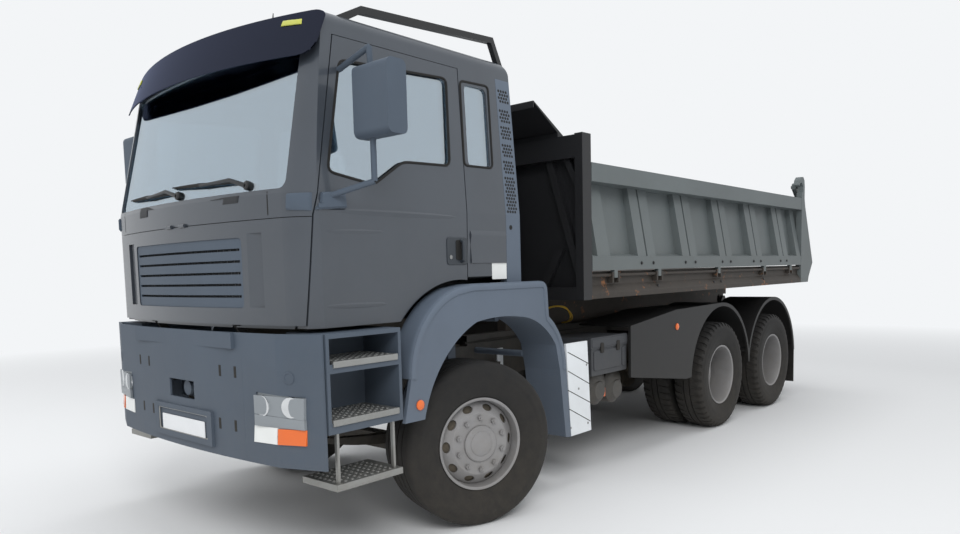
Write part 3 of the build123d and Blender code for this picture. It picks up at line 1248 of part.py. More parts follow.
def bumper_plan(inset, plane):
    """Block with the bumper's plan, at a distance inside its outer face."""
    half = 1205 - inset
    corner_x, corner_y = BUMPER_CORNER
    with BuildSketch(plane.offset(BUMPER_Z[0])) as plan:
        with BuildLine():
            first = (-corner_x + inset, corner_y + inset)
            last = (corner_x - inset, corner_y + inset)
            ThreePointArc(first, (0, BUMPER_NOSE + inset), last)
            side_y = min(BUMPER_SIDE_Y + inset, BUMPER_END_Y - 2)
            right_end = ((half, side_y), (half, BUMPER_END_Y))
            left_end = ((-half, BUMPER_END_Y), (-half, side_y))
            Polyline(last, *right_end, *left_end, first)
        make_face()
    return extrude(plan.sketch, amount=BUMPER_Z[1] - BUMPER_Z[0])


bumper_outer = bumper_plan(0, Plane.XY)
bumper_inner = bumper_plan(BUMPER_T, Plane.XY)
with BuildPart(DATUM) as bumper:
    add(bumper_outer)
    add(bumper_inner, mode=Mode.SUBTRACT)
    block((-150, 150), (-1500, -1430), (910, 1020), mode=Mode.SUBTRACT)
    for side in (1, -1):
        window = [(side * x, z) for x, z in LAMP_WINDOW]
        cross_slab(window, (-1500, -1300), mode=Mode.SUBTRACT)
    block((-350, 350), (-1468, -1440), (655, 860))
    block((-300, 300), (-1470, -1455), (690, 830), mode=Mode.SUBTRACT)
    block((-590, 590), (-1456, -1434), (1236, 1325))
    for side in (1, -1):
        bracket = sorted((side * (RAIL_OUT_X + SEAT), side * (RAIL_OUT_X + 35)))
        block(bracket, (-1425, -1190), (820, 960))
        block(sorted((side * 620, side * 650)), (-1432, -1400), (620, 1200))
        block(sorted((side * (RAIL_OUT_X + 20), side * 650)), (-1425, -1405), (830, 950))
    rod_y(0, (-1420, -1180), 965, 45)
    block((-(RAIL_OUT_X + 30), RAIL_OUT_X + 30), (-1240, -1200 - SEAT), (860, 1000))
    rod_z(0, -1385, (800, 1100), 22, mode=Mode.SUBTRACT)
save(bumper, "bumper")

LAMP_MID = (935.0, 892.0)
LAMP_SWEEP = (1250.0, 260.0)
LENS = (0.985, 6.0, 50.0)
LAMP_RIM = (1.04, BUMPER_T + SEAT, 36.0)


def lamp_block(side, share, front, back):
    """Lamp body between two distances behind the bumper's face, its outline the window's times a share."""
    mid_x, mid_z = LAMP_MID
    outline = [(side * (mid_x + (x - mid_x) * share), mid_z + (z - mid_z) * share) for x, z in LAMP_WINDOW]
    layer = bumper_plan(front, DATUM) - bumper_plan(back, DATUM)
    with BuildPart() as body:
        with BuildSketch(NOSE.offset(LAMP_SWEEP[0])) as opening:
            Polygon(*outline, align=None)
        extrude(opening.sketch, amount=LAMP_SWEEP[1])
        add(layer, mode=Mode.INTERSECT)
    return body.part


lamp_layers = [lamp_block(side, *layer) for side in (1, -1) for layer in (LENS, LAMP_RIM)]
with BuildPart() as front_lamps:
    for layer in lamp_layers:
        add(layer)
    add(bumper.part, mode=Mode.SUBTRACT)

# Front wheel arches: an outer flare plate, and a liner over the tyre
ARCH_X = (1195.0, 1220.0)
LINER_T = 9.0
LINER_IN_X = 900.0
ARCH_FEET = ((450.0, 1292.0), (745.0, 1010.0))
ARCH_FOOT_R = 24.0


def arch_opening(plane, grow=0.0):
    """Room for the steered wheel under a front arch: arcs over the tyre, open at the bottom."""
    with BuildSketch(plane) as opening:
        with BuildLine():
            front = ThreePointArc((-600, 772), (-398, 1132), (-124, 1312))
            crown = ThreePointArc(front @ 1, (52, 1330), (311, 1319))
            shoulder = ThreePointArc(crown @ 1, (560, 1240), (719, 1090))
            Polyline(shoulder @ 1, (764, 905), (827, 402), (827, 300), (-600, 300), front @ 0)
        make_face()
        offset(amount=grow)
    return opening.sketch


def arch_outline(plane):
    """Outer edge of a front arch, with its flat top under the cab and its long rear tail."""
    with BuildSketch(plane) as outline:
        with BuildLine():
            nose = ThreePointArc((-700, 1020), (-575, 1356), (-300, 1528))
            Polyline((-700, 1020), (-758, 772), (-600, 772), (827, 402), (895, 390), (845, 905))
            tail = ThreePointArc((845, 905), (790, 1130), (640, 1300))
            corner = ThreePointArc((625, 1490), (606, 1530), (560, 1548))
            Line(tail @ 1, corner @ 0)
            Polyline(corner @ 1, (-150, 1548), nose @ 1)
        make_face()
    return outline.sketch


with BuildPart(DATUM) as front_arches:
    for side in (1, -1):
        flare_x = sorted((side * ARCH_X[0], side * ARCH_X[1]))
        flare_plane = SIDE.offset(flare_x[0])
        extrude(arch_outline(flare_plane) - arch_opening(flare_plane), amount=ARCH_X[1] - ARCH_X[0])
        liner_x = sorted((side * LINER_IN_X, side * (ARCH_X[0] - SEAT)))
        liner_plane = SIDE.offset(liner_x[0])
        shell = arch_opening(liner_plane, LINER_T) - arch_opening(liner_plane)
        extrude(shell, amount=liner_x[1] - liner_x[0])
        block(
            sorted((side * (LINER_IN_X - 1), side * (ARCH_X[0] - SEAT))), (-620, 850), (280, 402),
            mode=Mode.SUBTRACT
        )
        block(
            sorted((side * (LINER_IN_X - 1), side * (ARCH_X[0] - SEAT))), (-620, -400), (280, 772),
            mode=Mode.SUBTRACT
        )
        block(sorted((side * (LINER_IN_X - 1), side * 1000)), (-620, -398), (700, 1132), mode=Mode.SUBTRACT)
        for foot_y, foot_z in ARCH_FEET:
            rod_x(sorted((side * (RAIL_OUT_X + SEAT), side * LINER_IN_X)), foot_y, foot_z, ARCH_FOOT_R)
        block(sorted((side * (RAIL_OUT_X + SEAT), side * (RAIL_OUT_X + 15))), (410, 490), (960, 1318))
save(front_arches, "front_arches")

# Steps behind the bumper's corners: a box with two recesses, three treads, the lowest on hangers
BOX_X = (870.0, 1215.0)
BOX_Y = (-1285.0, -768.0)
BOX_Z = (800.0, 1325.0)
TREADS = ((1148.0, -1248.0, -800.0), (842.0, -1262.0, -800.0), (512.0, -1254.0, -790.0))
TREAD_T = 36.0
with BuildPart(DATUM) as step_boxes:
    for side in (1, -1):
        block(sorted((side * BOX_X[0], side * BOX_X[1])), BOX_Y, BOX_Z)
        foothold_x = sorted((side * (BOX_X[0] + 40), side * BOX_X[1]))
        foothold_y = (BOX_Y[0] + 20, BOX_Y[1] - 20)
        for low, high in ((TREADS[1][0] + TREAD_T / 2, 1118), (TREADS[0][0] + TREAD_T / 2, 1300)):
            block(foothold_x, foothold_y, (low, high), mode=Mode.SUBTRACT)
        block(sorted((side * (RAIL_OUT_X + SEAT), side * BOX_X[0])), (-1050, -990), (930, 1010))
save(step_boxes, "step_boxes")

with BuildPart(DATUM) as step_treads:
    for side in (1, -1):
        tread_x = sorted((side * (BOX_X[0] + 45), side * (BOX_X[1] + 8)))
        for mid_z, start, end in TREADS[:2]:
            top = mid_z + TREAD_T / 2
            block(tread_x, (start, end), (top + SEAT, top + 14))
        mid_z, start, end = TREADS[2]
        block(tread_x, (start, end), (mid_z - TREAD_T / 2, mid_z + TREAD_T / 2))
        for hanger_y in (-1220, -830):
            block(
                sorted((side * 1180, side * 1200)), (hanger_y - 8, hanger_y + 8),
                (TREADS[2][0], BOX_Z[0] - SEAT)
            )
save(step_treads, "step_treads")

# Equipment between the axles: covers, battery box, air tanks, fuel tank
with BuildPart(DATUM) as side_covers:
    for side in (1, -1):
        slab(((855, 1085), (1133, 1085), (1176, 392), (905, 392)), sorted((side * 1195, side * 1213)))
        for rib_z in (500, 950):
            block(sorted((side * (RAIL_OUT_X + SEAT), side * 1196)), (1000, 1040), (rib_z, rib_z + 40))
        block(sorted((side * (RAIL_OUT_X + SEAT), side * (RAIL_OUT_X + 12))), (990, 1060), (500, 1000))
save(side_covers, "side_covers")

BATTERY = ((700.0, 1165.0), (1262.0, 1790.0), (790.0, 1085.0))
with BuildPart(DATUM) as battery_box:
    block(*BATTERY)
    fillet(battery_box.edges().filter_by(Axis.X), 12)
    block((RAIL_OUT_X + SEAT, BATTERY[0][0]), (1350, 1420), (820, 900))
    block((RAIL_OUT_X + SEAT, BATTERY[0][0]), (1640, 1710), (820, 900))
save(battery_box, "battery_box")

AIR_TANKS = ((1480.0, 645.0), (1745.0, 625.0))
AIR_TANK_R = 118.0
with BuildPart(DATUM) as air_tanks:
    for tank_y, tank_z in AIR_TANKS:
        rod_x((560, 1105), tank_y, tank_z, AIR_TANK_R)
    chamfer(air_tanks.edges().filter_by(GeomType.CIRCLE), 45)
    for tank_y, tank_z in AIR_TANKS:
        block((RAIL_OUT_X + SEAT, 700), (tank_y - 25, tank_y + 25), (tank_z + AIR_TANK_R - 20, 789))
    for bracket_y in ((1440, 1620), (1725, 1790)):
        block((RAIL_OUT_X + SEAT, RAIL_OUT_X + 25), bracket_y, (700, 860))

FUEL = ((-1180.0, -570.0), (1262.0, 2560.0), (470.0, 1060.0))
with BuildPart(DATUM) as fuel_tank:
    block(*FUEL)
    fillet(fuel_tank.edges().filter_by(Axis.Y), 90)
    for strap_y in (1500, 2250):
        block((-1184, -566), (strap_y - 30, strap_y + 30), (466, 1064))
        block((-600, -(RAIL_OUT_X + SEAT)), (strap_y - 30, strap_y + 30), (800, 1000))
    rod_z(-1000, 1420, (1050, 1110), 55)

with BuildPart() as side_tanks:
    add(air_tanks.part)
    add(fuel_tank.part)
save(side_tanks, "side_tanks")

# Rear mudguards: two arches on each side with a front valance and a rear flap
GUARD_X = (1185.0, 1208.0)
GUARD_IN_X = 700.0
GUARD_R = 727.0
GUARD_LIP = 36.0
with BuildPart(DATUM) as rear_mudguards:
    for side in (1, -1):
        plate = sorted((side * GUARD_X[0], side * GUARD_X[1]))
        across = sorted((side * GUARD_IN_X, side * GUARD_X[1]))
        for axle_y in REAR_AXLES:
            rod_x(across, axle_y, TYRE_R, GUARD_R)
        slab(
            ((1790, 722), (1790, 1150), (2600, 1240), (WHEELBASE, TYRE_R + GUARD_R), (WHEELBASE, 800),
             (2960, 560), (2770, 588)), plate,
        )
        inner = sorted((side * (GUARD_IN_X - 1), side * GUARD_X[0]))
        for axle_y in REAR_AXLES:
            rod_x(inner, axle_y, TYRE_R, GUARD_R - 10, mode=Mode.SUBTRACT)
            rod_x(plate, axle_y, TYRE_R, GUARD_R - GUARD_LIP, mode=Mode.SUBTRACT)
        block(
            sorted((side * (GUARD_IN_X - 1), side * (GUARD_X[1] + 1))), (2700, 5800), (-300, 585),
            mode=Mode.SUBTRACT
        )
        slab(((1790, 1140), (1790, 1150), (2600, 1240), (3300, 1240), (3300, 1230), (2600, 1230)), across)
        block(across, (5700, 5712), (190, 640))
        rod_x(sorted((side * (RAIL_OUT_X + SEAT), side * (GUARD_X[0] + 5))), 2700, 1000, 22)
        rod_x(sorted((side * (RAIL_OUT_X + SEAT), side * 640)), TANDEM_MID, 900, 22)
        rod_z(side * 620, TANDEM_MID, (697, 918), 22)
        rod_x(sorted((side * 600, side * (GUARD_X[0] + 5))), TANDEM_MID, 715, 22)
save(rear_mudguards, "rear_mudguards")

# Rear beam: underrun bar on two brackets, tow coupling in the middle
with BuildPart(DATUM) as rear_beam:
    block((-1150, 1150), (5760, 5840), (470, 580))
    for side in (1, -1):
        bracket = sorted((side * (RAIL_OUT_X + SEAT), side * (RAIL_OUT_X + 25)))
        slab(((5380, 990), (5380, 840), (5720, 470), (5840, 470), (5840, 580), (5600, 990)), bracket)
    block((-(RAIL_OUT_X + 20), RAIL_OUT_X + 20), (FRAME_REAR + SEAT, FRAME_REAR + 30), (800, 1000))
    block((-110, 110), (FRAME_REAR + 20, FRAME_REAR + 70), (790, 1010))
    for z0, z1 in ((835, 870), (930, 965)):
        block((-65, 65), (FRAME_REAR + 60, FRAME_REAR + 210), (z0, z1))
    rod_z(0, FRAME_REAR + 160, (780, 1010), 21, mode=Mode.SUBTRACT)
save(rear_beam, "rear_beam")

with BuildPart(DATUM) as tail_lamps:
    for side in (1, -1):
        block(sorted((side * 780, side * 1140)), (5841 - SEAT, 5890), (610, 730))
        block(sorted((side * 900, side * 940)), (5770, 5842), (580 + SEAT, 650))

with BuildPart() as lamps:
    add(front_lamps.part)
    add(tail_lamps.part)
save(lamps, "lamps")
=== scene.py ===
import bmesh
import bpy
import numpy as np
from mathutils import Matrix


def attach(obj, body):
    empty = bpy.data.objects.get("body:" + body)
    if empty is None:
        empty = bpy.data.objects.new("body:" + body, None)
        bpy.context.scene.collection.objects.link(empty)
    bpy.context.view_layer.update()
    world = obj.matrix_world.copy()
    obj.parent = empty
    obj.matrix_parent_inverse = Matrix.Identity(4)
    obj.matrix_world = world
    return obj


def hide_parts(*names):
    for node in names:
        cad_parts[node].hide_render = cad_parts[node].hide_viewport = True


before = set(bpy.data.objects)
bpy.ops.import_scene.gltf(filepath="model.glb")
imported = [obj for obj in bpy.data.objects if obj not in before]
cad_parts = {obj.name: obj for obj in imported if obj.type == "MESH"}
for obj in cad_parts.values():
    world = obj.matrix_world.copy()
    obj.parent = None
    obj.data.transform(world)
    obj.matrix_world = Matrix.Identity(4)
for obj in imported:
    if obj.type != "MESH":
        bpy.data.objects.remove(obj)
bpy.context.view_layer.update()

# %% [markdown]
# # A tipper truck, dressed over its CAD frame
# The frame is already in place: plain solids in metres, with -Y to the front, +X to the truck's
# left and the ground at z = 0. Every new piece is worked out in the same space, rides on the CAD
# body that carries it, and either sits on a solid or stands for one.

AXLE_Y = -2.395
REAR_AXLE_YS = (1.205, 2.605)
TYRE_R = 0.530
SIDES = ((1, "left"), (-1, "right"))

# %% [markdown]
# ## Camera
# A camera is a place, three directions and a focal length. These were found from points whose
# real places are known, such as wheel rims and body corners. The lens is 27.75 mm on a 36 mm
# sensor, and a small vertical shift stands for the picture's crop.

# %% Camera
def camera_matrix(place, yaw, pitch, roll):
    """Right, up and backward directions as columns: the view turned by yaw, then pitch, then roll."""
    forward = np.array([-np.sin(yaw) * np.cos(pitch), np.cos(yaw) * np.cos(pitch), np.sin(pitch)])
    level = np.array([np.cos(yaw), np.sin(yaw), 0.0])
    upright = np.cross(level, forward)
    right = np.cos(roll) * level + np.sin(roll) * upright
    up = -np.sin(roll) * level + np.cos(roll) * upright
    turned = np.eye(4)
    turned[:3, 0], turned[:3, 1], turned[:3, 2], turned[:3, 3] = right, up, -forward, place
    return Matrix(turned.tolist())


FOCAL_MM, SENSOR_MM, CROP_SHIFT = 27.75, 36.0, 0.0724
EYE, YAW, PITCH, ROLL = (4.3023, -3.5818 + AXLE_Y, 1.6283), 0.72437, -0.08788, -0.02419
optics = bpy.data.cameras.new("camera")
optics.lens, optics.sensor_width, optics.shift_y = FOCAL_MM, SENSOR_MM, CROP_SHIFT
optics.clip_end = 200.0
camera = bpy.data.objects.new("camera", optics)
bpy.context.collection.objects.link(camera)
camera.matrix_world = camera_matrix(EYE, YAW, PITCH, ROLL)
bpy.context.scene.camera = camera
bpy.context.scene.view_settings.view_transform = "Standard"
print("camera at", EYE)

# %% [markdown]
# ## Colours and nodes
# Colour codes are sRGB, as in a paint chart, and Blender mixes light in linear values, so one
# function does the change. A material is a small graph: `add_node` adds a node, sets its options
# and plugs other nodes' outputs or plain numbers into its inputs.

# %% Colour and node helpers
def linear(code):
    """sRGB hex to linear RGBA: the low part is a straight line, the rest a power of 2.4."""
    value = np.array([int(code[i:i + 2], 16) / 255 for i in (0, 2, 4)])
    value = np.where(value <= 0.04045, value / 12.92, ((value + 0.055) / 1.055) ** 2.4)
    return (*value.tolist(), 1.0)


def plug(tree, socket, value):
    """Link a node's output to an input, or give the input a plain value."""
    if isinstance(value, bpy.types.NodeSocket):
        tree.links.new(value, socket)
    else:
        socket.default_value = value


def add_node(tree, kind, options=None, **inputs):
    """Add one node, set its options and fill its inputs. An input goes by its name, with _ for a
    space, or by i and its number."""
    node = tree.nodes.new("ShaderNode" + kind)
    for name, value in (options or {}).items():
        setattr(node, name, value)
    for name, value in inputs.items():
        numbered = name[0] == "i" and name[1:].isdigit()
        plug(tree, node.inputs[int(name[1:]) if numbered else name.replace("_", " ")], value)
    return node


def combine(tree, operation, first, second, clamp=False):
    """Two values made one, such as their product or the larger of them."""
    options = {"operation": operation, "use_clamp": clamp}
    return add_node(tree, "Math", options, i0=first, i1=second).outputs[0]


def ramp(tree, value, **ends):
    """A value carried from one span to another along a straight line."""
    return add_node(tree, "MapRange", None, Value=value, **ends).outputs["Result"]


def noise(tree, place, scale, detail, roughness=0.5):
    """Fractal noise at a place, 0.5 on average."""
    inputs = {"Vector": place, "Scale": scale, "Detail": detail, "Roughness": roughness}
    return add_node(tree, "TexNoise", None, **inputs).outputs["Fac"]


def blend(tree, share, first, second):
    """Two colours mixed by a share."""
    return add_node(tree, "Mix", {"data_type": "RGBA"}, i0=share, i6=first, i7=second).outputs[2]


def seen_rays(tree):
    """1 for rays from the camera, from gloss and through glass, 0 for those that only carry light."""
    rays = add_node(tree, "LightPath").outputs
    seen = combine(tree, "MAXIMUM", rays["Is Camera Ray"], rays["Is Glossy Ray"])
    return combine(tree, "MAXIMUM", seen, rays["Is Transmission Ray"])


def new_material(name):
    """A material, its node tree and its Principled shader."""
    material = bpy.data.materials.new(name)
    material.use_nodes = True
    return material, material.node_tree, material.node_tree.nodes["Principled BSDF"]


def show_mix(tree, share, first, second):
    """Put a mix of two shaders on the surface."""
    mix = add_node(tree, "MixShader", None, i0=share, i1=first.outputs[0], i2=second.outputs[0])
    tree.links.new(mix.outputs[0], tree.nodes["Material Output"].inputs["Surface"])


# %% [markdown]
# ## Grids and meshes
# Nearly every surface here is a grid: points stored row by row, and a quad between each four of
# them. Where a grid runs all the way round, its last row or column is joined to its first.

# %% Mesh helpers
def grid_faces(rows, columns, wrap_rows=False, wrap_columns=False):
    """Corner numbers of the quads of a grid, stored row by row, closed round where asked."""
    r = np.arange(rows if wrap_rows else rows - 1)
    c = np.arange(columns if wrap_columns else columns - 1)
    r, c = (a.ravel() for a in np.meshgrid(r, c, indexing="ij"))
    r2, c2 = (r + 1) % rows, (c + 1) % columns
    return np.stack([r * columns + c, r2 * columns + c, r2 * columns + c2, r * columns + c2], 1)


def add_mesh(name, points, faces):
    """A smooth mesh object from an array of points and lists of corner numbers."""
    mesh = bpy.data.meshes.new(name)
    mesh.from_pydata(np.asarray(points, dtype=float).reshape(-1, 3).tolist(), [], faces)
    mesh.validate()
    mesh.polygons.foreach_set("use_smooth", np.ones(len(mesh.polygons), dtype=bool))
    mesh.update()
    piece = bpy.data.objects.new(name, mesh)
    bpy.context.collection.objects.link(piece)
    return piece


def join_meshes(name, parts):
    """One object from several (points, faces) pairs."""
    points, faces, start = [], [], 0
    for part_points, part_faces in parts:
        points.append(np.asarray(part_points, dtype=float).reshape(-1, 3))
        rows = part_faces if isinstance(part_faces, list) else part_faces.tolist()
        faces += [[corner + start for corner in face] for face in rows]
        start += len(points[-1])
    return add_mesh(name, np.concatenate(points), faces)


def face_outwards(piece, angle):
    """Merge doubles and point the faces outwards; edges sharper than the angle stay crisp."""
    work = bmesh.new()
    work.from_mesh(piece.data)
    bmesh.ops.remove_doubles(work, verts=work.verts, dist=1e-5)
    bmesh.ops.recalc_face_normals(work, faces=work.faces)
    work.to_mesh(piece.data)
    work.free()
    piece.data.set_sharp_from_angle(angle=angle)
    return piece


# %% [markdown]
# ## Stage
# A plain pale floor under soft light. White behind the truck comes from the colour that camera
# rays see, not from more light on it: far off, the floor fades to the same colour as the sky.

# %% Floor and light
FLOOR_RADII, FLOOR_SIDES = np.array([0.05, 5.0, 10.0, 20.0, 45.0, 120.0])[:, None], 48
FADE_FROM, FADE_TO = 7.0, 15.0
PALE = linear("f3f5f7")

floor_angle = np.arange(FLOOR_SIDES)[None, :] * 2 * np.pi / FLOOR_SIDES
floor_x, floor_y = FLOOR_RADII * np.cos(floor_angle), FLOOR_RADII * np.sin(floor_angle)
floor_points = np.stack([floor_x, floor_y, 0 * floor_x], -1)
floor_faces = grid_faces(len(FLOOR_RADII), FLOOR_SIDES, wrap_columns=True).tolist()
floor = add_mesh("floor", floor_points, floor_faces + [list(range(FLOOR_SIDES))])

# Matt paint near the truck, where shadows fall, and a plain pale colour farther off
paint, tree, shader = new_material("studio floor paint")
shader.inputs["Base Color"].default_value = linear("e4e5e6")
shader.inputs["Roughness"].default_value = 0.9
place = add_node(tree, "TexCoord").outputs["Object"]
far_off = add_node(tree, "VectorMath", {"operation": "LENGTH"}, i0=place).outputs["Value"]
far_share = ramp(tree, far_off, From_Min=FADE_FROM, From_Max=FADE_TO)
far = add_node(tree, "Emission", None, Color=PALE, Strength=1.0)
show_mix(tree, combine(tree, "MULTIPLY", far_share, seen_rays(tree)), shader, far)
floor.data.materials.append(paint)

world = bpy.data.worlds.new("studio")
bpy.context.scene.world = world
world.use_nodes = True
sky = world.node_tree
background = sky.nodes["Background"]
background.inputs["Color"].default_value = PALE
sky.links.new(ramp(sky, seen_rays(sky), To_Min=0.62, To_Max=1.0), background.inputs["Strength"])


def add_lamp(name, place, target, size, power):
    """A square area lamp at a place, aimed at a target. Gloss doesn't mirror it."""
    lamp = bpy.data.lights.new(name, "AREA")
    lamp.size, lamp.energy = size, power
    holder = bpy.data.objects.new(name, lamp)
    bpy.context.collection.objects.link(holder)
    back = np.array(place, dtype=float) - target
    back /= np.linalg.norm(back)
    side = np.cross([0.0, 0.0, 1.0], back)
    side /= np.linalg.norm(side)
    turned = np.eye(4)
    turned[:3] = np.column_stack([side, np.cross(back, side), back, place])
    holder.matrix_world = Matrix(turned.tolist())
    holder.visible_glossy = False


add_lamp("key", (9.0, -9.0, 9.0), (0, -1.0, 1.5), 6.0, 900)
add_lamp("fill", (-9.0, -9.0, 6.0), (0, -2.0, 1.5), 7.0, 350)
add_lamp("top", (0.5, 0.0, 11.0), (0, 0, 1.5), 8.0, 500)
print("floor", len(floor.data.polygons), "faces")

# %% [markdown]
# ## Finishes
# The truck is painted steel, moulded plastic, rubber and glass, all a little dusty. Dust settles
# low down, so its share falls with height above the ground. `finish` builds every opaque one from
# a base colour, two noises at real sizes and a dust layer; each material below is named for what
# it is and says what that gives the eye.

# %% Opaque finishes
DUST = linear("8a7f6e")


def finish(name, code, roughness, metallic=0.0, cloud_mm=400.0, cloud=0.06, grain_mm=3.0, bump=0.15,
           dust=0.25, dust_top=1.6, coat=0.0, worn=None, worn_share=0.0):
    """Base colour lightened and darkened by a broad noise, dust rising from the ground, worn patches
    where a finer noise passes a threshold, and a grain bump."""
    material, tree, shader = new_material(name)
    place = add_node(tree, "TexCoord").outputs["Object"]
    base, swing = np.array(linear(code)[:3]), cloud * 2.2
    dark, light = base * (1 - swing), np.minimum(base * (1 + swing), 1)
    colour = blend(tree, noise(tree, place, 1000 / cloud_mm, 5.0, 0.6), (*dark, 1), (*light, 1))
    if worn:
        scuffs = noise(tree, place, 1000 / 120.0, 9.0, 0.72)
        share = ramp(tree, scuffs, From_Min=0.70 - worn_share, From_Max=0.76 - worn_share)
        colour = blend(tree, share, colour, linear(worn))
    if dust:
        height = add_node(tree, "SeparateXYZ", None, Vector=place).outputs["Z"]
        fall = ramp(tree, height, From_Min=0.15, From_Max=dust_top, To_Min=dust, To_Max=dust * 0.12)
        amount = combine(tree, "MULTIPLY", fall, noise(tree, place, 14.0, 8.0, 0.7))
        amount = combine(tree, "MULTIPLY", amount, 1.8, clamp=True)
        colour = blend(tree, amount, colour, DUST)
        roughness = ramp(tree, amount, To_Min=roughness, To_Max=0.95)
    for title, value in (("Base Color", colour), ("Roughness", roughness), ("Metallic", metallic),
                         ("Coat Weight", coat), ("Coat Roughness", 0.08)):
        plug(tree, shader.inputs[title], value)
    if bump:
        grain = noise(tree, place, 1000 / grain_mm, 3.0)
        relief = add_node(tree, "Bump", None, Strength=bump, Distance=grain_mm / 4000, Height=grain)
        tree.links.new(relief.outputs["Normal"], shader.inputs["Normal"])
    return material


def lens_plastic(name, code, roughness=0.22, dust=0.05):
    """Moulded lens plastic: smooth, dyed through and glossy."""
    return finish(name, code, roughness, dust=dust, bump=0.0, coat=0.5)


# Two-layer metallic paint: dark grey flakes under clear lacquer give a soft warm gloss
cab_paint = finish("metallic lacquer", "454b53", 0.38, metallic=0.45, coat=0.6, bump=0.03, grain_mm=6.0,
                   dust=0.08, dust_top=2.2)
# Grained polypropylene: mouldings are dyed through, matt and slightly blue
trim_plastic = finish("grained polypropylene", "47525f", 0.62, bump=0.35, grain_mm=2.2, dust=0.1,
                      dust_top=1.5)
dark_plastic = finish("black polypropylene", "24272b", 0.6, bump=0.3, grain_mm=2.2, dust=0.15,
                      dust_top=1.5)
# The same moulding plastic in a lighter copy, painted light: the arches and intake strips as if lit by more
# of the sky
sky_lit_plastic = finish("polypropylene lightened as painted light", "586371", 0.55, bump=0.3, grain_mm=2.2, dust=0.08)
# Chassis paint: thin, satin and dusty
frame_paint = finish("chassis paint", "232528", 0.55, dust=0.3, dust_top=1.5, bump=0.1, grain_mm=5.0)
# Cast iron keeps the sand's grain under its paint and holds the most dust
# The same finish darkens the sheets behind the wheels' hand holes, as painted shade
cast_iron_and_hole_shade = finish("painted cast iron", "2e2e2d", 0.7, metallic=0.2, dust=0.6, bump=0.5)
# Body paint: satin grey-green, scuffed to brown along its edges by loads of soil
bed_paint = finish("worn body enamel", "5c6466", 0.5, cloud=0.10, cloud_mm=900.0, bump=0.12,
                   grain_mm=8.0, dust=0.15, dust_top=2.8, worn="6d5a49", worn_share=0.02)
front_wall_paint = finish("black enamel", "151619", 0.5, cloud=0.12, dust=0.02, dust_top=2.8, bump=0.1,
                          worn="5b4e42")
# Floor steel: scoured by loads, brown with rust in patches
floor_steel = finish("scoured floor steel", "322e2c", 0.6, metallic=0.3, cloud=0.2, bump=0.3,
                     grain_mm=10.0, dust=0.12, dust_top=4.0, worn="8a5a36", worn_share=0.1)
# Tyre rubber: carbon black bleached grey-brown by dry soil
tyre_rubber = finish("tyre rubber", "17181a", 0.85, cloud_mm=200.0, bump=0.35, grain_mm=2.5, dust=0.1,
                     dust_top=1.2)
# Metals: lacquered, zinc plated, pressed with a tread, powder coated and painted
rim_steel = finish("silver wheel lacquer", "8f8f91", 0.42, metallic=0.35, cloud=0.08, cloud_mm=150.0,
                   bump=0.1, grain_mm=4.0)
bare_steel = finish("plated steel", "9b9c9b", 0.35, metallic=0.9, dust=0.2, bump=0.1, grain_mm=2.0)
tread_alloy = finish("pressed aluminium", "a2a4a3", 0.45, metallic=0.85, dust=0.35, bump=0.2)
black_tube = finish("powder coat black", "1a1b1c", 0.35, dust=0.0, bump=0.1, grain_mm=1.5)
handle_paint = finish("dark handle lacquer", "2e343b", 0.4, dust=0.08, bump=0.03)
tank_black = finish("tank paint", "26282a", 0.4, dust_top=1.4, bump=0.05)
# Mouldings behind the cab, and lamp housings in aluminium colour
white_panel = finish("white moulded panel", "e3e7ea", 0.4, dust=0.1, dust_top=1.3, bump=0.05)
box_grey = finish("grey moulded box", "34383e", 0.6, dust=0.15, dust_top=1.4, bump=0.2)
guard_plastic = finish("mudguard plastic", "0f1012", 0.55, dust=0.05, dust_top=1.3)
lamp_grey = finish("aluminium-coloured housing", "8d9398", 0.4, metallic=0.3, dust=0.10, bump=0.0)
# Inside the cab: cloth and skin with a fine grain, kept clean
seat_cloth = finish("woven seat cloth", "33353a", 0.9, dust=0.0, bump=0.6, grain_mm=1.6)
dash_plastic = finish("soft dash skin", "3a3c3f", 0.7, dust=0.05, bump=0.4, grain_mm=1.8)
# Rubber seals and hoses: one black and matt, one dyed yellow
# The black rubber also serves as painted shade in the intake holes, the bumper slots and the handle cups
black_rubber_and_painted_shade = finish("black rubber", "151515", 0.75, dust=0.1, bump=0.1)
hose_yellow = finish("yellow hose plastic", "c9a22a", 0.5, dust=0.2, bump=0.05)
# Lenses are dyed acrylic
marker_orange = lens_plastic("amber lens plastic", "e0661a")
tail_red = lens_plastic("red lens plastic", "8c1a16", dust=0.1)
lens_white = lens_plastic("white lens plastic", "e6e8e6", 0.18)
lens_green = lens_plastic("yellow-green lens", "b5b84a")
# Plates and stickers are plain white film
plate_white = finish("white plate film", "e4e6e8", 0.45, dust=0.05, bump=0.0)
# Mirrors and bowls: metal laid on glass or plastic, so clean and bright
mirror_glass = finish("silvered glass", "cfd4d6", 0.03, metallic=1.0, dust=0.0, bump=0.0, cloud=0.0)
reflector = finish("vapour-plated reflector", "d8dadb", 0.12, metallic=1.0, dust=0.0, bump=0.0,
                   cloud=0.02)
print(len(bpy.data.materials), "materials")

# %% [markdown]
# Glass and acrylic are sheets so thin that light is not bent by them. What the eye sees is a tint
# from behind and a mirrored share of what lies in front.

# %% Clear finishes
def clear_finish(name, tint, mirrored_share, gloss, roughness=0.02):
    """Thin tinted sheet: light passes straight on through the tint, and a share of what lies in
    front is mirrored, more of it at a grazing look."""
    material, tree, shader = new_material(name)
    tree.nodes.remove(shader)
    through = add_node(tree, "BsdfTransparent", None, Color=linear(tint))
    shine = add_node(tree, "BsdfGlossy", None, Color=linear(gloss), Roughness=roughness)
    grazing = add_node(tree, "LayerWeight", None, Blend=0.35).outputs["Fresnel"]
    show_mix(tree, ramp(tree, grazing, To_Min=mirrored_share, To_Max=0.9), through, shine)
    return material


# Laminated glass: clear with a green-blue cast, it mirrors the pale sky
window_glass = clear_finish("laminated glass", "dde5e8", 0.42, "e6f2fb")
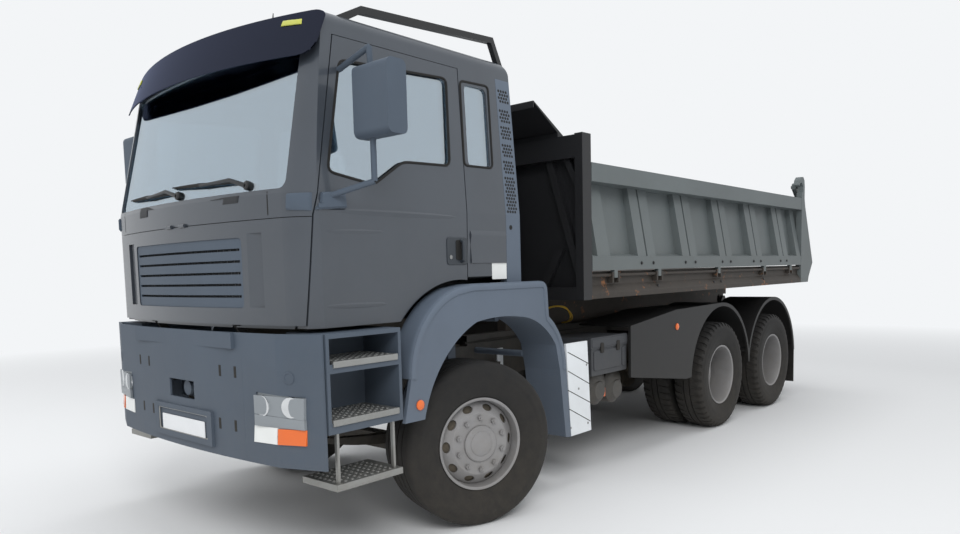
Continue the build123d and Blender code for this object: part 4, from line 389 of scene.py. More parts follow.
# Cast acrylic: dyed deep violet-blue all through, with a soft gloss
visor_acrylic = clear_finish("violet acrylic", "3a4058", 0.10, "7f86a0", 0.08)

# %% [markdown]
# ## Tyres
# A tyre is a profile turned about its axle. The tread is cut into it here by making the radius a
# function of two things: how far across the tread a point is, and how far round. Rows of points
# sit on the very edges of each groove, so the blocks have crisp sides without a dense grid.

# %% One tyre as a grid
def axle_place(points, centre, axis_out):
    """Points given as (along the axle outwards, rearwards, up), put at a wheel's centre and axis."""
    out = np.array(axis_out, dtype=float)
    up = np.array([0.0, 0.0, 1.0])
    rear = np.cross(up, out)
    return points[..., :1] * out + points[..., 1:2] * rear + points[..., 2:3] * up + np.array(centre)


def turned_points(angle, across, radius):
    """A point at `across` along the axle and `radius` from it, `angle` round: the lathe's formula."""
    return np.stack(np.broadcast_arrays(across, radius * np.cos(angle), radius * np.sin(angle)), -1)


def tyre_grid(width, rim_width, lugs, lug_share, grooves, depth, shoulder_cut):
    """Profile rows run from the inner bead over the tread to the outer bead. On the tread the radius
    falls by `depth` inside circumferential grooves and, between lugs, across the outer bands."""
    half, bead = width / 2, rim_width / 2
    wall = np.array([
        [bead - 0.004, 0.287], [bead, 0.296], [bead + 0.008, 0.304], [bead + 0.016, 0.312],
        [half - 0.016, 0.345], [half - 0.004, 0.385], [half, 0.418], [half - 0.002, 0.440],
        [half - 0.001, 0.444], [half - 0.006, 0.462], [half - 0.012, 0.490], [half - 0.016, 0.505],
        [half - 0.030, 0.522],
    ])
    edges = [half - 0.046]
    for centre, wide in sorted(grooves, reverse=True):
        edges += [centre + reach for reach in (wide / 2, wide / 2 - 0.0015, 0.0015 - wide / 2, -wide / 2)]
    tread_x = np.array(sorted(set(edges + [-e for e in edges] + [0.0]), reverse=True))
    tread_r = TYRE_R - 0.006 * (tread_x / half) ** 2
    in_groove = np.zeros(len(tread_x), dtype=bool)
    for centre, wide in grooves:
        in_groove |= np.abs(np.abs(tread_x) - centre) < wide / 2 - 0.001
    across = np.concatenate([wall[:, 0], tread_x, -wall[::-1, 0]])
    radius = np.concatenate([wall[:, 1], np.where(in_groove, tread_r - depth, tread_r), wall[::-1, 1]])
    band = (np.abs(across) > shoulder_cut) & (radius > 0.500)
    pitch = 2 * np.pi / lugs
    steps = np.array([0.0, 0.04, lug_share, lug_share + 0.04]) * pitch
    round_ = (np.arange(lugs)[:, None] * pitch + steps[None, :]).ravel()
    gap = np.tile([True, False, False, True], lugs)
    cut = band[None, :] & gap[:, None]
    r = np.where(cut, radius[None, :] - depth * 0.9, radius[None, :])
    slant = 0.25 * pitch * np.sign(across) * np.clip((np.abs(across) - shoulder_cut) / half, 0, 1) * 2
    points = turned_points(round_[:, None] + slant[None, :], across[None, :], r)
    return points, len(round_), len(across)


front_grid = tyre_grid(width=0.385, rim_width=0.300, lugs=36, lug_share=0.62, depth=0.013,
                       grooves=[(0.032, 0.012), (0.098, 0.013)], shoulder_cut=1.0)
rear_grid = tyre_grid(width=0.305, rim_width=0.230, lugs=44, lug_share=0.58, depth=0.016,
                      grooves=[(0.030, 0.012)], shoulder_cut=0.038)


# %% [markdown]
# The front wheels carry one wide tyre each and stand turned by 18 degrees, as in the photograph.
# The rear wheels carry twins, one piece for each pair.

# %% Tyres on their wheels
def add_tyres(name, grid, offsets, centre, axis_out, body, node):
    """One piece for the tyres of a wheel, each at its offset out along the axle."""
    points, rounds, rows = grid
    faces = grid_faces(rounds, rows, wrap_rows=True)
    parts = [(axle_place(points + [offset, 0, 0], centre, axis_out), faces) for offset in offsets]
    tyre = face_outwards(join_meshes(name, parts), 0.9)
    tyre.data.materials.append(tyre_rubber)
    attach(tyre, body)
    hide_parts(node)


FRONT_MID, REAR_MIDS = 0.180, (0.7295, 1.0745)
turn = np.radians(-18.0)
steer_out = {side: (side * np.cos(turn), side * np.sin(turn), 0.0) for side, _ in SIDES}
front_centre = {side: (side * 0.890, AXLE_Y, TYRE_R) for side, _ in SIDES}
for side, hand in SIDES:
    add_tyres(f"tyre_front_{hand}", front_grid, [FRONT_MID], front_centre[side], steer_out[side],
              f"front_wheel_{hand}", f"front_tyre_{hand}")
    for number, axle_y in enumerate(REAR_AXLE_YS, start=1):
        add_tyres(f"tyres_rear_{number}_{hand}", rear_grid, REAR_MIDS, (0.0, axle_y, TYRE_R),
                  (side, 0, 0), f"twin_{number}_{hand}", f"rear_tyres_{number}_{hand}")
print("front tyre grid", front_grid[1:], "rear tyre grid", rear_grid[1:])

# %% [markdown]
# ## Wheels
# A steel wheel is a rolled rim with a pressed disc. The disc has ten hand holes, each a small grid
# between an ellipse and its share of the ring, and ten nuts round the hub. The rear outer wheels
# show the hollow side of the same disc, with the hub standing in it.

# %% Rim, disc, nuts and hub
def lathe(profile, steps=96):
    """Profile rows of (across, radius) turned into a closed ring of quads."""
    profile = np.asarray(profile, dtype=float)
    angle = np.arange(steps)[:, None] * 2 * np.pi / steps
    points = turned_points(angle, profile[None, :, 0], profile[None, :, 1])
    return points.reshape(-1, 3), grid_faces(steps, len(profile), wrap_rows=True)


def holed_ring(inner, outer, holes, hole_size, rows=5, steps=32):
    """A conical ring between two (across, radius) circles with elliptical holes: in each sector the
    surface runs straight from the ellipse to the sector's edge."""
    (x0, r0), (x1, r1) = inner, outer
    angle = np.arange(steps) * 2 * np.pi / steps
    half = np.pi / holes
    direction = np.stack([np.cos(angle), np.sin(angle)], 1)
    reach = 1 / np.maximum(np.abs(direction[:, 0]), np.abs(direction[:, 1]))
    edge = direction * reach[:, None]
    middle = (r0 + r1) / 2
    edge_angle, edge_radius = edge[:, 0] * half, middle + edge[:, 1] * (r1 - r0) / 2
    hole_angle = direction[:, 0] * hole_size[0] / middle
    hole_radius = middle + direction[:, 1] * hole_size[1]
    share = np.linspace(0, 1, rows)[:, None]
    a = hole_angle * (1 - share) + edge_angle * share
    r = hole_radius * (1 - share) + edge_radius * share
    x = x0 + (x1 - x0) * (r - r0) / (r1 - r0)
    lip_x = np.concatenate([x[:1] - 0.012, x], 0)
    a, r = np.concatenate([a[:1], a], 0), np.concatenate([r[:1], r], 0)
    sector = np.arange(holes)[:, None, None] * 2 * half
    points = turned_points(a[None] + sector, lip_x[None], r[None])
    faces = grid_faces(rows + 1, steps, wrap_columns=True)
    every = (faces[None] + np.arange(holes)[:, None, None] * (rows + 1) * steps).reshape(-1, 4)
    return points.reshape(-1, 3), every


def nut_ring(count, circle_r, across, size, height):
    """Hexagonal nuts on a circle: a six-sided prism with a bevelled and closed top, repeated."""
    corner = np.arange(6) * np.pi / 3
    levels = np.array([[0.0, 1.0], [height * 0.8, 1.0], [height, 0.82], [height * 1.001, 0.45],
                       [height * 1.35, 0.42], [height * 1.36, 0.001]])
    radial = circle_r + size * levels[:, 1][:, None] * np.cos(corner)[None, :]
    sideways = size * levels[:, 1][:, None] * np.sin(corner)[None, :]
    angle = (np.arange(count) + 0.5)[:, None, None] * 2 * np.pi / count
    y = radial[None] * np.cos(angle) - sideways[None] * np.sin(angle)
    z = radial[None] * np.sin(angle) + sideways[None] * np.cos(angle)
    x = np.broadcast_to(across + levels[:, 0][None, :, None], y.shape)
    faces = grid_faces(6, 6, wrap_columns=True)
    every = (faces[None] + np.arange(count)[:, None, None] * 36).reshape(-1, 4)
    return np.stack([x, y, z], -1).reshape(-1, 3), every


def rim_profile(mid, width):
    """Section of the rolled rim, from the inner lip round the drop centre and back along the bore.
    Both halves are alike: one is given, and the other is its mirror image."""
    half = width / 2
    lip = [(half + 0.013, 0.290), (half + 0.012, 0.297), (half + 0.006, 0.298), (half, 0.292),
           (half - 0.006, 0.2855), (0.03, 0.2855)]
    bore = [(half + 0.008, 0.280), (half - 0.004, 0.276), (half * 0.6, 0.270)]
    inner_lip, inner_bore = ([(-x, r) for x, r in row] for row in (lip, bore))
    return np.array(inner_lip + lip[::-1] + bore + inner_bore[::-1] + inner_lip[:1]) + [mid, 0]


# %% [markdown]
# A wheel is a list of such rings. Each profile is a short table of (along the axle, radius). The
# brake drum, and a dark cone just behind the hand holes that is painted shade, are a second list.

# %% Wheels on their axles
def beyond(start, profile):
    """Profile points (along, radius) counted from a start on the axle."""
    return [(start + along, radius) for along, radius in profile]


NUTS, NUT_CIRCLE, NUT_SIZE = 10, 0.1675, 0.0185
DISC_X, REAR_DISC_X, HOLES = 0.330, 0.911, 10
front_parts = [
    lathe(rim_profile(FRONT_MID, 0.300)),
    lathe(beyond(DISC_X, [(-0.060, 0.272), (-0.052, 0.268), (-0.046, 0.262)])),
    holed_ring((DISC_X - 0.004, 0.205), (DISC_X - 0.046, 0.262), HOLES, (0.036, 0.021)),
    lathe(beyond(DISC_X, [(-0.004, 0.205), (0.0, 0.198), (0.0, 0.120), (0.004, 0.1185), (0.0, 0.118),
                          (0.010, 0.117), (0.016, 0.108), (0.017, 0.080), (0.020, 0.078),
                          (0.026, 0.066), (0.026, 0.020), (0.026, 0.0)])),
    nut_ring(NUTS, NUT_CIRCLE, DISC_X, NUT_SIZE, 0.020),
]
# A cone just behind the hand holes is painted shade for the hollow seen through them; the drum lies behind
# it
front_drums_and_hole_shade = [
    lathe(beyond(DISC_X, [(-0.022, 0.198), (-0.064, 0.256), (-0.074, 0.269)])),
    lathe(beyond(DISC_X, [(-0.014, 0.205), (-0.015, 0.190), (-0.020, 0.170), (-0.080, 0.165),
                          (-0.218, 0.205), (-0.220, 0.205), (-0.220, 0.050)])),
]
outer_root = REAR_MIDS[1] - 0.107
rear_parts = [lathe(rim_profile(mid, 0.230)) for mid in REAR_MIDS] + [
    lathe(beyond(outer_root, [(0.004, 0.270), (-0.004, 0.266), (-0.012, 0.260)])),
    holed_ring((0.918, 0.206), (outer_root - 0.012, 0.260), HOLES, (0.030, 0.018)),
    lathe([(0.918, 0.206), (0.912, 0.200), (REAR_DISC_X, 0.120), (0.930, 0.118), (1.010, 0.112),
           (1.035, 0.108), (1.040, 0.095), (1.046, 0.078), (1.052, 0.070), (1.052, 0.02), (1.052, 0.0)]),
    nut_ring(NUTS, NUT_CIRCLE, REAR_DISC_X, NUT_SIZE, 0.022),
]
# Between the twins a dark turned sheet behind the hand holes is painted shade, with the drum's shape at its
# back
rear_drums_and_hole_shade = [
    lathe([(0.8365, 0.270), (0.840, 0.262), (0.890, 0.206), (0.896, 0.200), (0.896, 0.180),
           (0.700, 0.200), (0.640, 0.205), (0.635, 0.200), (0.635, 0.056)]),
]


def add_wheel(name, parts, drums_and_hole_shade, centre, axis_out, body, node):
    """Wheel metal at its axle, and behind its hand holes the brake drum and a dark sheet of painted shade.
    """
    # The piece named for the drum also holds the sheet of painted shade behind the hand holes
    for title, pieces, material in ((name, parts, rim_steel), (f"{name}_drum", drums_and_hole_shade, cast_iron_and_hole_shade)):
        placed = [(axle_place(points, centre, axis_out), faces) for points, faces in pieces]
        wheel = face_outwards(join_meshes(title, placed), 0.5)
        wheel.data.materials.append(material)
        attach(wheel, body)
        if pieces is parts:
            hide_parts(node)


for side, hand in SIDES:
    add_wheel(f"wheel_front_{hand}", front_parts, front_drums_and_hole_shade, front_centre[side], steer_out[side],
              f"front_wheel_{hand}", f"front_rim_{hand}")
    for number, axle_y in enumerate(REAR_AXLE_YS, start=1):
        add_wheel(f"wheels_rear_{number}_{hand}", rear_parts, rear_drums_and_hole_shade, (0, axle_y, TYRE_R),
                  (side, 0, 0), f"twin_{number}_{hand}", f"rear_rims_{number}_{hand}")
print("front wheel", len(front_parts), "parts, rear wheel", len(rear_parts), "parts")

# %% [markdown]
# ## Dressing the frame
# Most solids already have their shape from the CAD, so they only need their finish. The table
# pairs each finish with the nodes that wear it.

# %% Finishes of the CAD nodes
finish_table = (
    (cab_paint, ("cab_front", "cab_sides", "cab_roof", "front_flap", "door_left", "door_right")),
    (trim_plastic, ("bumper", "step_boxes", "grille", "mirror_left", "mirror_right")),
    # The arches and intake strips wear the lighter copy of the moulding plastic, which is painted light
    (sky_lit_plastic, ("front_arches", "intake_grilles")),
    (dark_plastic, ("cab_back", "cab_floor")),
    (frame_paint, ("chassis_frame", "subframe", "rear_beam", "front_axle", "leaf_springs")),
    (cast_iron_and_hole_shade, ("rear_axles", "engine", "knuckle_left", "knuckle_right", "tie_rod")),
    (bed_paint, ("side_wall_left", "side_wall_right", "bed_rear_posts", "tailgate")),
    (front_wall_paint, ("bed_front_wall",)),
    (floor_steel, ("bed_floor",)),
    (tread_alloy, ("step_treads",)),
    (white_panel, ("side_covers",)),
    (box_grey, ("battery_box",)),
    (tank_black, ("side_tanks",)),
    (guard_plastic, ("rear_mudguards",)),
    (black_tube, ("roof_bars",)),
    (seat_cloth, ("seats",)),
    (dash_plastic, ("dashboard",)),
    (window_glass, ("cab_glass", "door_glass_left", "door_glass_right")),
    (visor_acrylic, ("sun_visor",)),
    (lamp_grey, ("lamps",)),
    (bare_steel, ("hoist_stage_1", "hoist_stage_2", "hoist_stage_3")),
    (frame_paint, ("hoist_barrel",)),
)
wheel_nodes = {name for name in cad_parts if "tyre" in name or "rim" in name}
bare_nodes = set(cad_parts) - wheel_nodes
for material, nodes in finish_table:
    for node in nodes:
        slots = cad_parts[node].data.materials
        slots.clear()
        slots.append(material)
        bare_nodes.discard(node)
print("nodes without a finish:", sorted(bare_nodes))

# %% [markdown]
# ## Fittings from three shapes
# Almost every small part of a truck is one of three shapes: an outline pushed along an axis, a
# round section carried along a path, or a profile turned about a line. Places are given as the CAD
# gives them, behind the front axle, and `fit` shifts them once. What comes in pairs is made on the
# left and mirrored.

# %% Prism, tube and turned part
AXES = {"xz": (0, 2, 1), "yz": (1, 2, 0), "xy": (0, 1, 2)}


def rounded(outline, radius, steps=4):
    """Corners of an outline replaced by curves, each the quadratic blend of two cut-back points."""
    outline = np.asarray(outline, dtype=float)
    before, after = np.roll(outline, 1, 0) - outline, np.roll(outline, -1, 0) - outline
    before *= radius / np.linalg.norm(before, axis=1, keepdims=True)
    after *= radius / np.linalg.norm(after, axis=1, keepdims=True)
    t = np.linspace(0, 1, steps)[None, :, None]
    curve = outline[:, None] + before[:, None] * (1 - t) ** 2 + after[:, None] * t ** 2
    return curve.reshape(-1, 2)


def prism(outline, span, plane):
    """An outline in two axes pushed along the third between two distances, closed at both ends."""
    outline = np.asarray(outline, dtype=float)
    count = len(outline)
    first, second, third = AXES[plane]
    points = np.zeros((2, count, 3))
    points[:, :, first], points[:, :, second] = outline[:, 0], outline[:, 1]
    points[:, :, third] = np.array(span)[:, None]
    ring = np.arange(count)
    following = np.roll(ring, -1)
    sides = np.stack([ring, following, following + count, ring + count], 1).tolist()
    return points.reshape(-1, 3), sides + [ring[::-1].tolist(), (ring + count).tolist()]


def slab(low, high, radius, span, plane):
    """A plate with round corners: two opposite corners of its outline, and its two faces' places."""
    (u0, v0), (u1, v1) = low, high
    return prism(rounded([(u0, v0), (u1, v0), (u1, v1), (u0, v1)], radius), span, plane)


def tube(path, radius, steps=10):
    """A round section carried along a path; at each point it lies square to the mean of both runs."""
    path = np.asarray(path, dtype=float)
    runs = np.diff(path, axis=0)
    runs /= np.linalg.norm(runs, axis=1, keepdims=True)
    along = np.concatenate([runs[:1], runs[:-1] + runs[1:], runs[-1:]])
    along /= np.linalg.norm(along, axis=1, keepdims=True)
    reference = np.eye(3)[np.argmin(np.abs(runs).max(0))]
    side = np.cross(along, reference)
    side /= np.linalg.norm(side, axis=1, keepdims=True)
    up = np.cross(side, along)
    angle = np.arange(steps) * 2 * np.pi / steps
    ring = np.cos(angle)[None, :, None] * side[:, None] + np.sin(angle)[None, :, None] * up[:, None]
    points = (path[:, None] + ring * np.broadcast_to(radius, len(path))[:, None, None]).reshape(-1, 3)
    faces = grid_faces(len(path), steps, wrap_columns=True).tolist()
    last = (len(path) - 1) * steps
    return points, faces + [list(range(steps)), list(range(last, last + steps))]


def spun(profile, place, axis, steps=24):
    """A profile of (along, radius) turned about a line through a place."""
    axis = np.array(axis, dtype=float) / np.linalg.norm(axis)
    reference = np.eye(3)[np.argmin(np.abs(axis))]
    side = np.cross(axis, reference)
    side /= np.linalg.norm(side)
    up = np.cross(axis, side)
    angle = np.arange(steps)[:, None] * 2 * np.pi / steps
    along, radius = np.asarray(profile, dtype=float).T
    points = along[None, :, None] * axis + (radius * np.cos(angle))[..., None] * side
    points = points + (radius * np.sin(angle))[..., None] * up + np.array(place)
    return points.reshape(-1, 3), grid_faces(steps, len(along), wrap_rows=True)


def bolt(place, axis, radius=0.011, height=0.009):
    """A six-sided head with a chamfer, on its washer."""
    washer = spun([(0, radius * 1.35), (0.002, radius * 1.35), (0.002, radius)], place, axis, 12)
    profile = [(0.002, radius), (height, radius), (height + 0.002, radius * 0.8), (height + 0.002, 0.0001)]
    head = spun(profile, place, axis, 6)
    return [washer, head]


def on_side(parts, side):
    """Parts made on the left, kept there for 1 or mirrored to the right for -1."""
    return [(np.asarray(points) * [side, 1, 1], faces) for points, faces in parts]


def mirrored(parts):
    """The parts and their copies on the truck's other side."""
    return parts + on_side(parts, -1)


def fit(name, parts, material, body, bevel=0.0, smooth_below=0.6):
    """Join parts, shift them behind the front axle's place, finish their edges and let them ride."""
    shifted = [(np.asarray(points) + [0, AXLE_Y, 0], faces) for points, faces in parts]
    piece = face_outwards(join_meshes(name, shifted), smooth_below)
    if bevel:
        soften = piece.modifiers.new("edges", "BEVEL")
        soften.width, soften.segments, soften.limit_method, soften.angle_limit = bevel, 2, "ANGLE", 0.7
    piece.data.materials.append(material)
    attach(piece, body)
    print(name, len(piece.data.polygons), "faces")
    return piece


# %% [markdown]
# A fitting has to sit on the solid that holds it. A line cast at the CAD from ahead or from the
# left finds the surface, and the cross product of two short chords on it gives the way it faces.

# %% Places found on the CAD
def touch(nodes, start, direction):
    """Where a line first meets the nearest of the CAD nodes, or, if it passes them all, their
    closest point; all distances are behind the front axle."""
    origin = np.array(start, dtype=float) + [0, AXLE_Y, 0]
    solids = [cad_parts[node] for node in ([nodes] if isinstance(nodes, str) else nodes)]
    met = [solid.ray_cast(origin, direction)[:2] for solid in solids]
    places = [place for hit, place in met if hit]
    if not places:
        places = [solid.closest_point_on_mesh(origin)[1] for solid in solids]
    nearest = min((np.array(place) for place in places), key=lambda p: np.sum((p - origin) ** 2))
    return nearest - [0, AXLE_Y, 0]


def ahead(nodes, x, z, lift=0.0):
    """What a look from straight ahead meets at a width and height, brought forward by a lift."""
    return touch(nodes, (x, -3.0, z), (0, 1, 0)) - [0, lift, 0]


def beside(nodes, y, z, lift=0.0):
    """What a look from the left meets at a length and height, brought outwards by a lift."""
    return touch(nodes, (2.0, y, z), (-1, 0, 0)) + [lift, 0, 0]


def outward(nodes, x, z, step=0.012):
    """Direction square to the surface seen from ahead: the cross product of two short chords."""
    across = ahead(nodes, x + step, z) - ahead(nodes, x - step, z)
    upward = ahead(nodes, x, z + step) - ahead(nodes, x, z - step)
    normal = np.cross(across, upward)
    return normal / np.linalg.norm(normal)


# %% [markdown]
# Lamps, seams and strips follow a curved surface. Each is a patch: a grid blended between four
# corners, cast on the surface, lifted a little and closed behind.

# %% Patches on a surface
def sheet(front, back, columns, rows):
    """Two grids of points closed into one thin body by a band round their rims."""
    number = np.arange(columns * rows).reshape(columns, rows)
    ring = np.concatenate([number[:, 0], number[-1, 1:], number[-2::-1, -1], number[0, -2:0:-1]])
    after, count = np.roll(ring, -1), columns * rows
    faces = [grid_faces(columns, rows), grid_faces(columns, rows)[:, ::-1] + count,
             np.stack([ring, ring + count, after + count, after], 1)]
    return np.concatenate([front, back]), np.concatenate(faces)


def patch(nodes, corners, look, lift, columns=11, rows=5, sunk=0.002, flat=False):
    """A low plate that follows the CAD's surface: a grid blended between four corners (lower left,
    lower right, upper right, upper left) is cast on it, lifted inside its rim, and closed behind."""
    s = np.concatenate([[0], np.linspace(0.03, 0.97, columns - 2), [1]])[:, None, None]
    t = np.concatenate([[0], np.linspace(0.12, 0.88, rows - 2), [1]])[None, :, None]
    a, b, c, d = np.asarray(corners, dtype=float)
    plan = ((1 - s) * a + s * b) * (1 - t) + ((1 - s) * d + s * c) * t
    under = np.array([look(nodes, *place) for place in plan.reshape(-1, 2)])
    towards = np.array([0.0, -1.0, 0.0]) if look is ahead else np.array([1.0, 0.0, 0.0])
    if flat:
        level = np.column_stack([np.ones(len(under)), under[:, 0], under[:, 2]])
        plane = level @ np.linalg.lstsq(level, under[:, 1], rcond=None)[0]
        under[:, 1] = plane + (under[:, 1] - plane).min()
    rise = np.full((columns, rows), lift)
    rise[[0, -1]], rise[:, [0, -1]] = lift * 0.5, lift * 0.5
    top, base = under + rise.reshape(-1, 1) * towards, under - sunk * towards
    return sheet(top, base, columns, rows)


# %% [markdown]
# ## Windscreen, wipers and visor
# Two wipers park low on the glass, one behind the other. An arm is a thin tapered rod and the
# blade a rubber strip with a bow over it. Points on the glass are found by casting lines at it, so
# the blades lie on the real curve of the pane.

# %% Wipers, their covers and the marker patches
SCREEN = ("cab_glass", "cab_front")
boss = [(-0.02, 0.026), (0.016, 0.026), (0.024, 0.020), (0.026, 0.0001)]
wiper_parts, blade_parts = [], []
for pivot, low, high in (((0.689, 2.118), (0.600, 2.142), (-0.050, 2.166)),
                         ((0.011, 2.116), (-0.075, 2.135), (-0.728, 2.146))):
    pivot, low, high = np.array(pivot), np.array(low), np.array(high)
    middle = (low + high) / 2
    elbow = pivot * 0.7 + middle * 0.3 + [0, 0.030]
    arm = [ahead(SCREEN, *pivot, 0.018), ahead(SCREEN, *elbow, 0.034), ahead(SCREEN, *middle, 0.028)]
    wiper_parts.append(tube(arm, [0.014, 0.011, 0.007], 8))
    wiper_parts.append(spun(boss, ahead(SCREEN, *pivot), (0, -1, 0.2), 20))
    edge = np.array([ahead(SCREEN, *(low + (high - low) * s), 0.007) for s in np.linspace(0, 1, 9)])
    blade_parts.append(tube(edge, 0.005, 6))
    bow = np.array([0.004, 0.006, 0.008, 0.010, 0.012, 0.010, 0.008, 0.006, 0.004])
    blade_parts.append(tube(edge + [0, -0.014, 0.004], bow, 6))
fit("wiper_arms", wiper_parts, black_tube, "cab")
fit("wiper_blades", blade_parts, black_rubber_and_painted_shade, "cab")
covers = (((0.50, 2.030), (0.63, 2.030), (0.655, 2.105), (0.52, 2.105)),
          ((-0.53, 2.020), (-0.40, 2.020), (-0.39, 2.090), (-0.51, 2.090)))
fit("wiper_covers", [patch("cab_front", cover, ahead, 0.005) for cover in covers], dark_plastic, "cab")
seam = [(0.858, 1.950), (0.866, 1.950), (0.866, 2.090), (0.858, 2.090)]
fit("screen_panel_seams", mirrored([patch("cab_front", seam, ahead, 0.0006, 4, 9)]), black_rubber_and_painted_shade, "cab")

# The visor bulges forward along a circle, leans back as it rises, and its end corners are round
VISOR_HALF_W, VISOR_R, VISOR_LOW, VISOR_HIGH = 1.085, 2.974, 2.770, 3.019
BRACKET_LOW, BRACKET_HIGH = 2.890, 2.905


def visor_y(x, z):
    """Front face of the visor: the circle's depth at x, and 0.42 back for each unit of rise."""
    return -1.400 + VISOR_R - np.sqrt(VISOR_R ** 2 - x ** 2) + 0.42 * (z - VISOR_LOW)


visor_x = VISOR_HALF_W * np.sin(np.linspace(-np.pi / 2, np.pi / 2, 49))[:, None]
near_end = np.clip((np.abs(visor_x) / VISOR_HALF_W - 0.93) / 0.07, 0, 1)
round_off = 1 - np.sqrt(1 - near_end ** 2)
low_edge, high_edge = VISOR_LOW + 0.075 * round_off, VISOR_HIGH - 0.045 * round_off
visor_z = low_edge + (high_edge - low_edge) * np.linspace(0, 1, 7)[None, :]
visor_x = np.broadcast_to(visor_x, visor_z.shape)
visor_face = np.stack([visor_x, visor_y(visor_x, visor_z), visor_z], -1).reshape(-1, 3)
visor_parts = [sheet(visor_face, visor_face + [0, 0.0085, 0], 49, 7)]
for x in (-0.7, 0.0, 0.7):
    z = (BRACKET_LOW + BRACKET_HIGH) / 2
    span = (visor_y(x, z) + 0.004, ahead("cab_front", x, z)[1] + 0.004)
    visor_parts.append(slab((x - 0.015, BRACKET_LOW), (x + 0.015, BRACKET_HIGH), 0.004, span, "xz"))
visor = fit("tinted_visor", visor_parts, visor_acrylic, "cab")
# The markers come before the visor takes its CAD node's place, as lines are cast at that node
marker = ((0.838, 2.953), (0.965, 2.945), (0.957, 2.976), (0.840, 2.985))
fit("visor_markers", mirrored([patch("sun_visor", marker, ahead, 0.008, 7, 5)]), lens_green, "cab")
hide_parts("sun_visor")

# %% [markdown]
# ## Doors and cab sides
# Each door has a grip handle in a shallow cup, rubber round its window and pressed creases that
# stiffen the skin. A crease is a low ridge with tapered ends. Rubber follows the window's own
# outline, so one closed path makes it.

# %% Handles, creases, rubbers and corner strips
DOOR_SKIN = 1.120
grip = [(0.004, 1.824), (0.026, 1.812), (0.029, 1.757), (0.026, 1.702), (0.004, 1.690)]
grip = [(DOOR_SKIN + out, -0.150, z) for out, z in grip]
plate_span, cup_span = (DOOR_SKIN - 0.004, DOOR_SKIN + 0.006), (DOOR_SKIN + 0.005, DOOR_SKIN + 0.008)
handle_parts = [slab((-0.275, 1.671), (-0.089, 1.843), 0.024, plate_span, "yz"),
                tube(grip, [0.010, 0.012, 0.013, 0.012, 0.010], 10)]
# The cup is the recess behind the grip, drawn as a thin black plate that is painted shade
cup_parts = [slab((-0.199, 1.702), (-0.137, 1.826), 0.014, cup_span, "yz")]
lock_profile = [(0, 0.013), (0.004, 0.013), (0.006, 0.010), (0.006, 0.0001)]
lock_parts = [spun(lock_profile, (DOOR_SKIN + 0.006, -0.245, 1.72), (1, 0, 0), 16)]


def crease(start, end, height, lift):
    """A low pressed ridge between two places on the skin, tapered to nothing at both ends."""
    (y0, z0), (y1, z1) = start, end
    s = np.linspace(0, 1, 13)[:, None]
    swell = np.sin(np.pi * s) ** 0.35 + 1e-3
    across = np.array([-1.0, -0.45, 0.35, 1.0])[None, :] * height / 2 * swell
    out = DOOR_SKIN + np.array([0.0, 0.7, 1.0, 0.0])[None, :] * lift * swell - 0.001
    points = np.stack(np.broadcast_arrays(out, y0 + (y1 - y0) * s, z0 + (z1 - z0) * s + across), -1)
    return points.reshape(-1, 3), grid_faces(13, 4, wrap_columns=True)


def outline_path(corners, radius, x):
    """A closed window outline at a width, its corners rounded, the last point back at the first."""
    ring = rounded(corners, radius, 5)
    ring = np.concatenate([ring, ring[:1]])
    return np.column_stack([np.full(len(ring), x), ring])


DOOR_WINDOW = [(-1.145, 2.170), (-1.003, 2.775), (-0.172, 2.822), (-0.205, 2.282), (-0.600, 2.270),
               (-0.835, 2.122)]
rubber_ring = outline_path(DOOR_WINDOW, 0.045, 0)
outer_ring = rubber_ring[:, 1:] + (rubber_ring[:, 1:] - [-0.62, 2.5]) * 0.03
rubber_ring[:, 0] = [beside("door_left", *place)[0] for place in outer_ring]
crease_parts = [crease((-1.19, 1.966), (-0.15, 1.966), 0.040, 0.007),
                crease((-1.19, 1.855), (-0.77, 1.862), 0.030, 0.006),
                crease((-1.21, 1.462), (-0.76, 1.456), 0.034, 0.007)]
strip_places = ((-1.235, 1.966), (-1.045, 1.982), (-1.050, 2.070), (-1.235, 2.055))
strip_parts = [patch("door_left", strip_places, beside, 0.020, 9, 6)]
door_table = (("door_handle", handle_parts, handle_paint, 0.003),
              ("door_handle_cup", cup_parts, black_rubber_and_painted_shade, 0), ("door_lock", lock_parts, bare_steel, 0),
              ("door_creases", crease_parts, cab_paint, 0),
              ("door_rubber", [tube(rubber_ring, 0.008, 6)], black_rubber_and_painted_shade, 0),
              ("corner_strip", strip_parts, trim_plastic, 0))
for side, hand in SIDES:
    for title, pieces, material, bevel in door_table:
        fit(f"{title}_{hand}", on_side(pieces, side), material, f"{hand}_door", bevel)
nose_places = ((1.000, 1.968), (1.100, 1.962), (1.102, 2.054), (1.006, 2.052))
nose_strip = patch("cab_front", nose_places, ahead, 0.016, 9, 6)
fit("corner_strips_front", mirrored([nose_strip]), trim_plastic, "cab")

# %% [markdown]
# Behind the door the side wall carries a bent panel and the intake strip, a moulding with groups
# of hexagonal holes. Holes that small are drawn as black six-sided plugs a hair proud of the strip,
# their black painted shade for the depth of each hole.

# %% Intake holes, blank sticker and the side wall's fold
GROUPS = ((2.013, 2.259), (2.278, 2.364), (2.390, 2.482), (2.509, 2.600), (2.620, 2.718), (2.751, 2.835))
rows = np.concatenate([np.arange(low + 0.010, high - 0.004, 0.0225) for low, high in GROUPS])
hole = [(-0.006, 0.0105), (0.0006, 0.0105), (0.0006, 0.0001)]
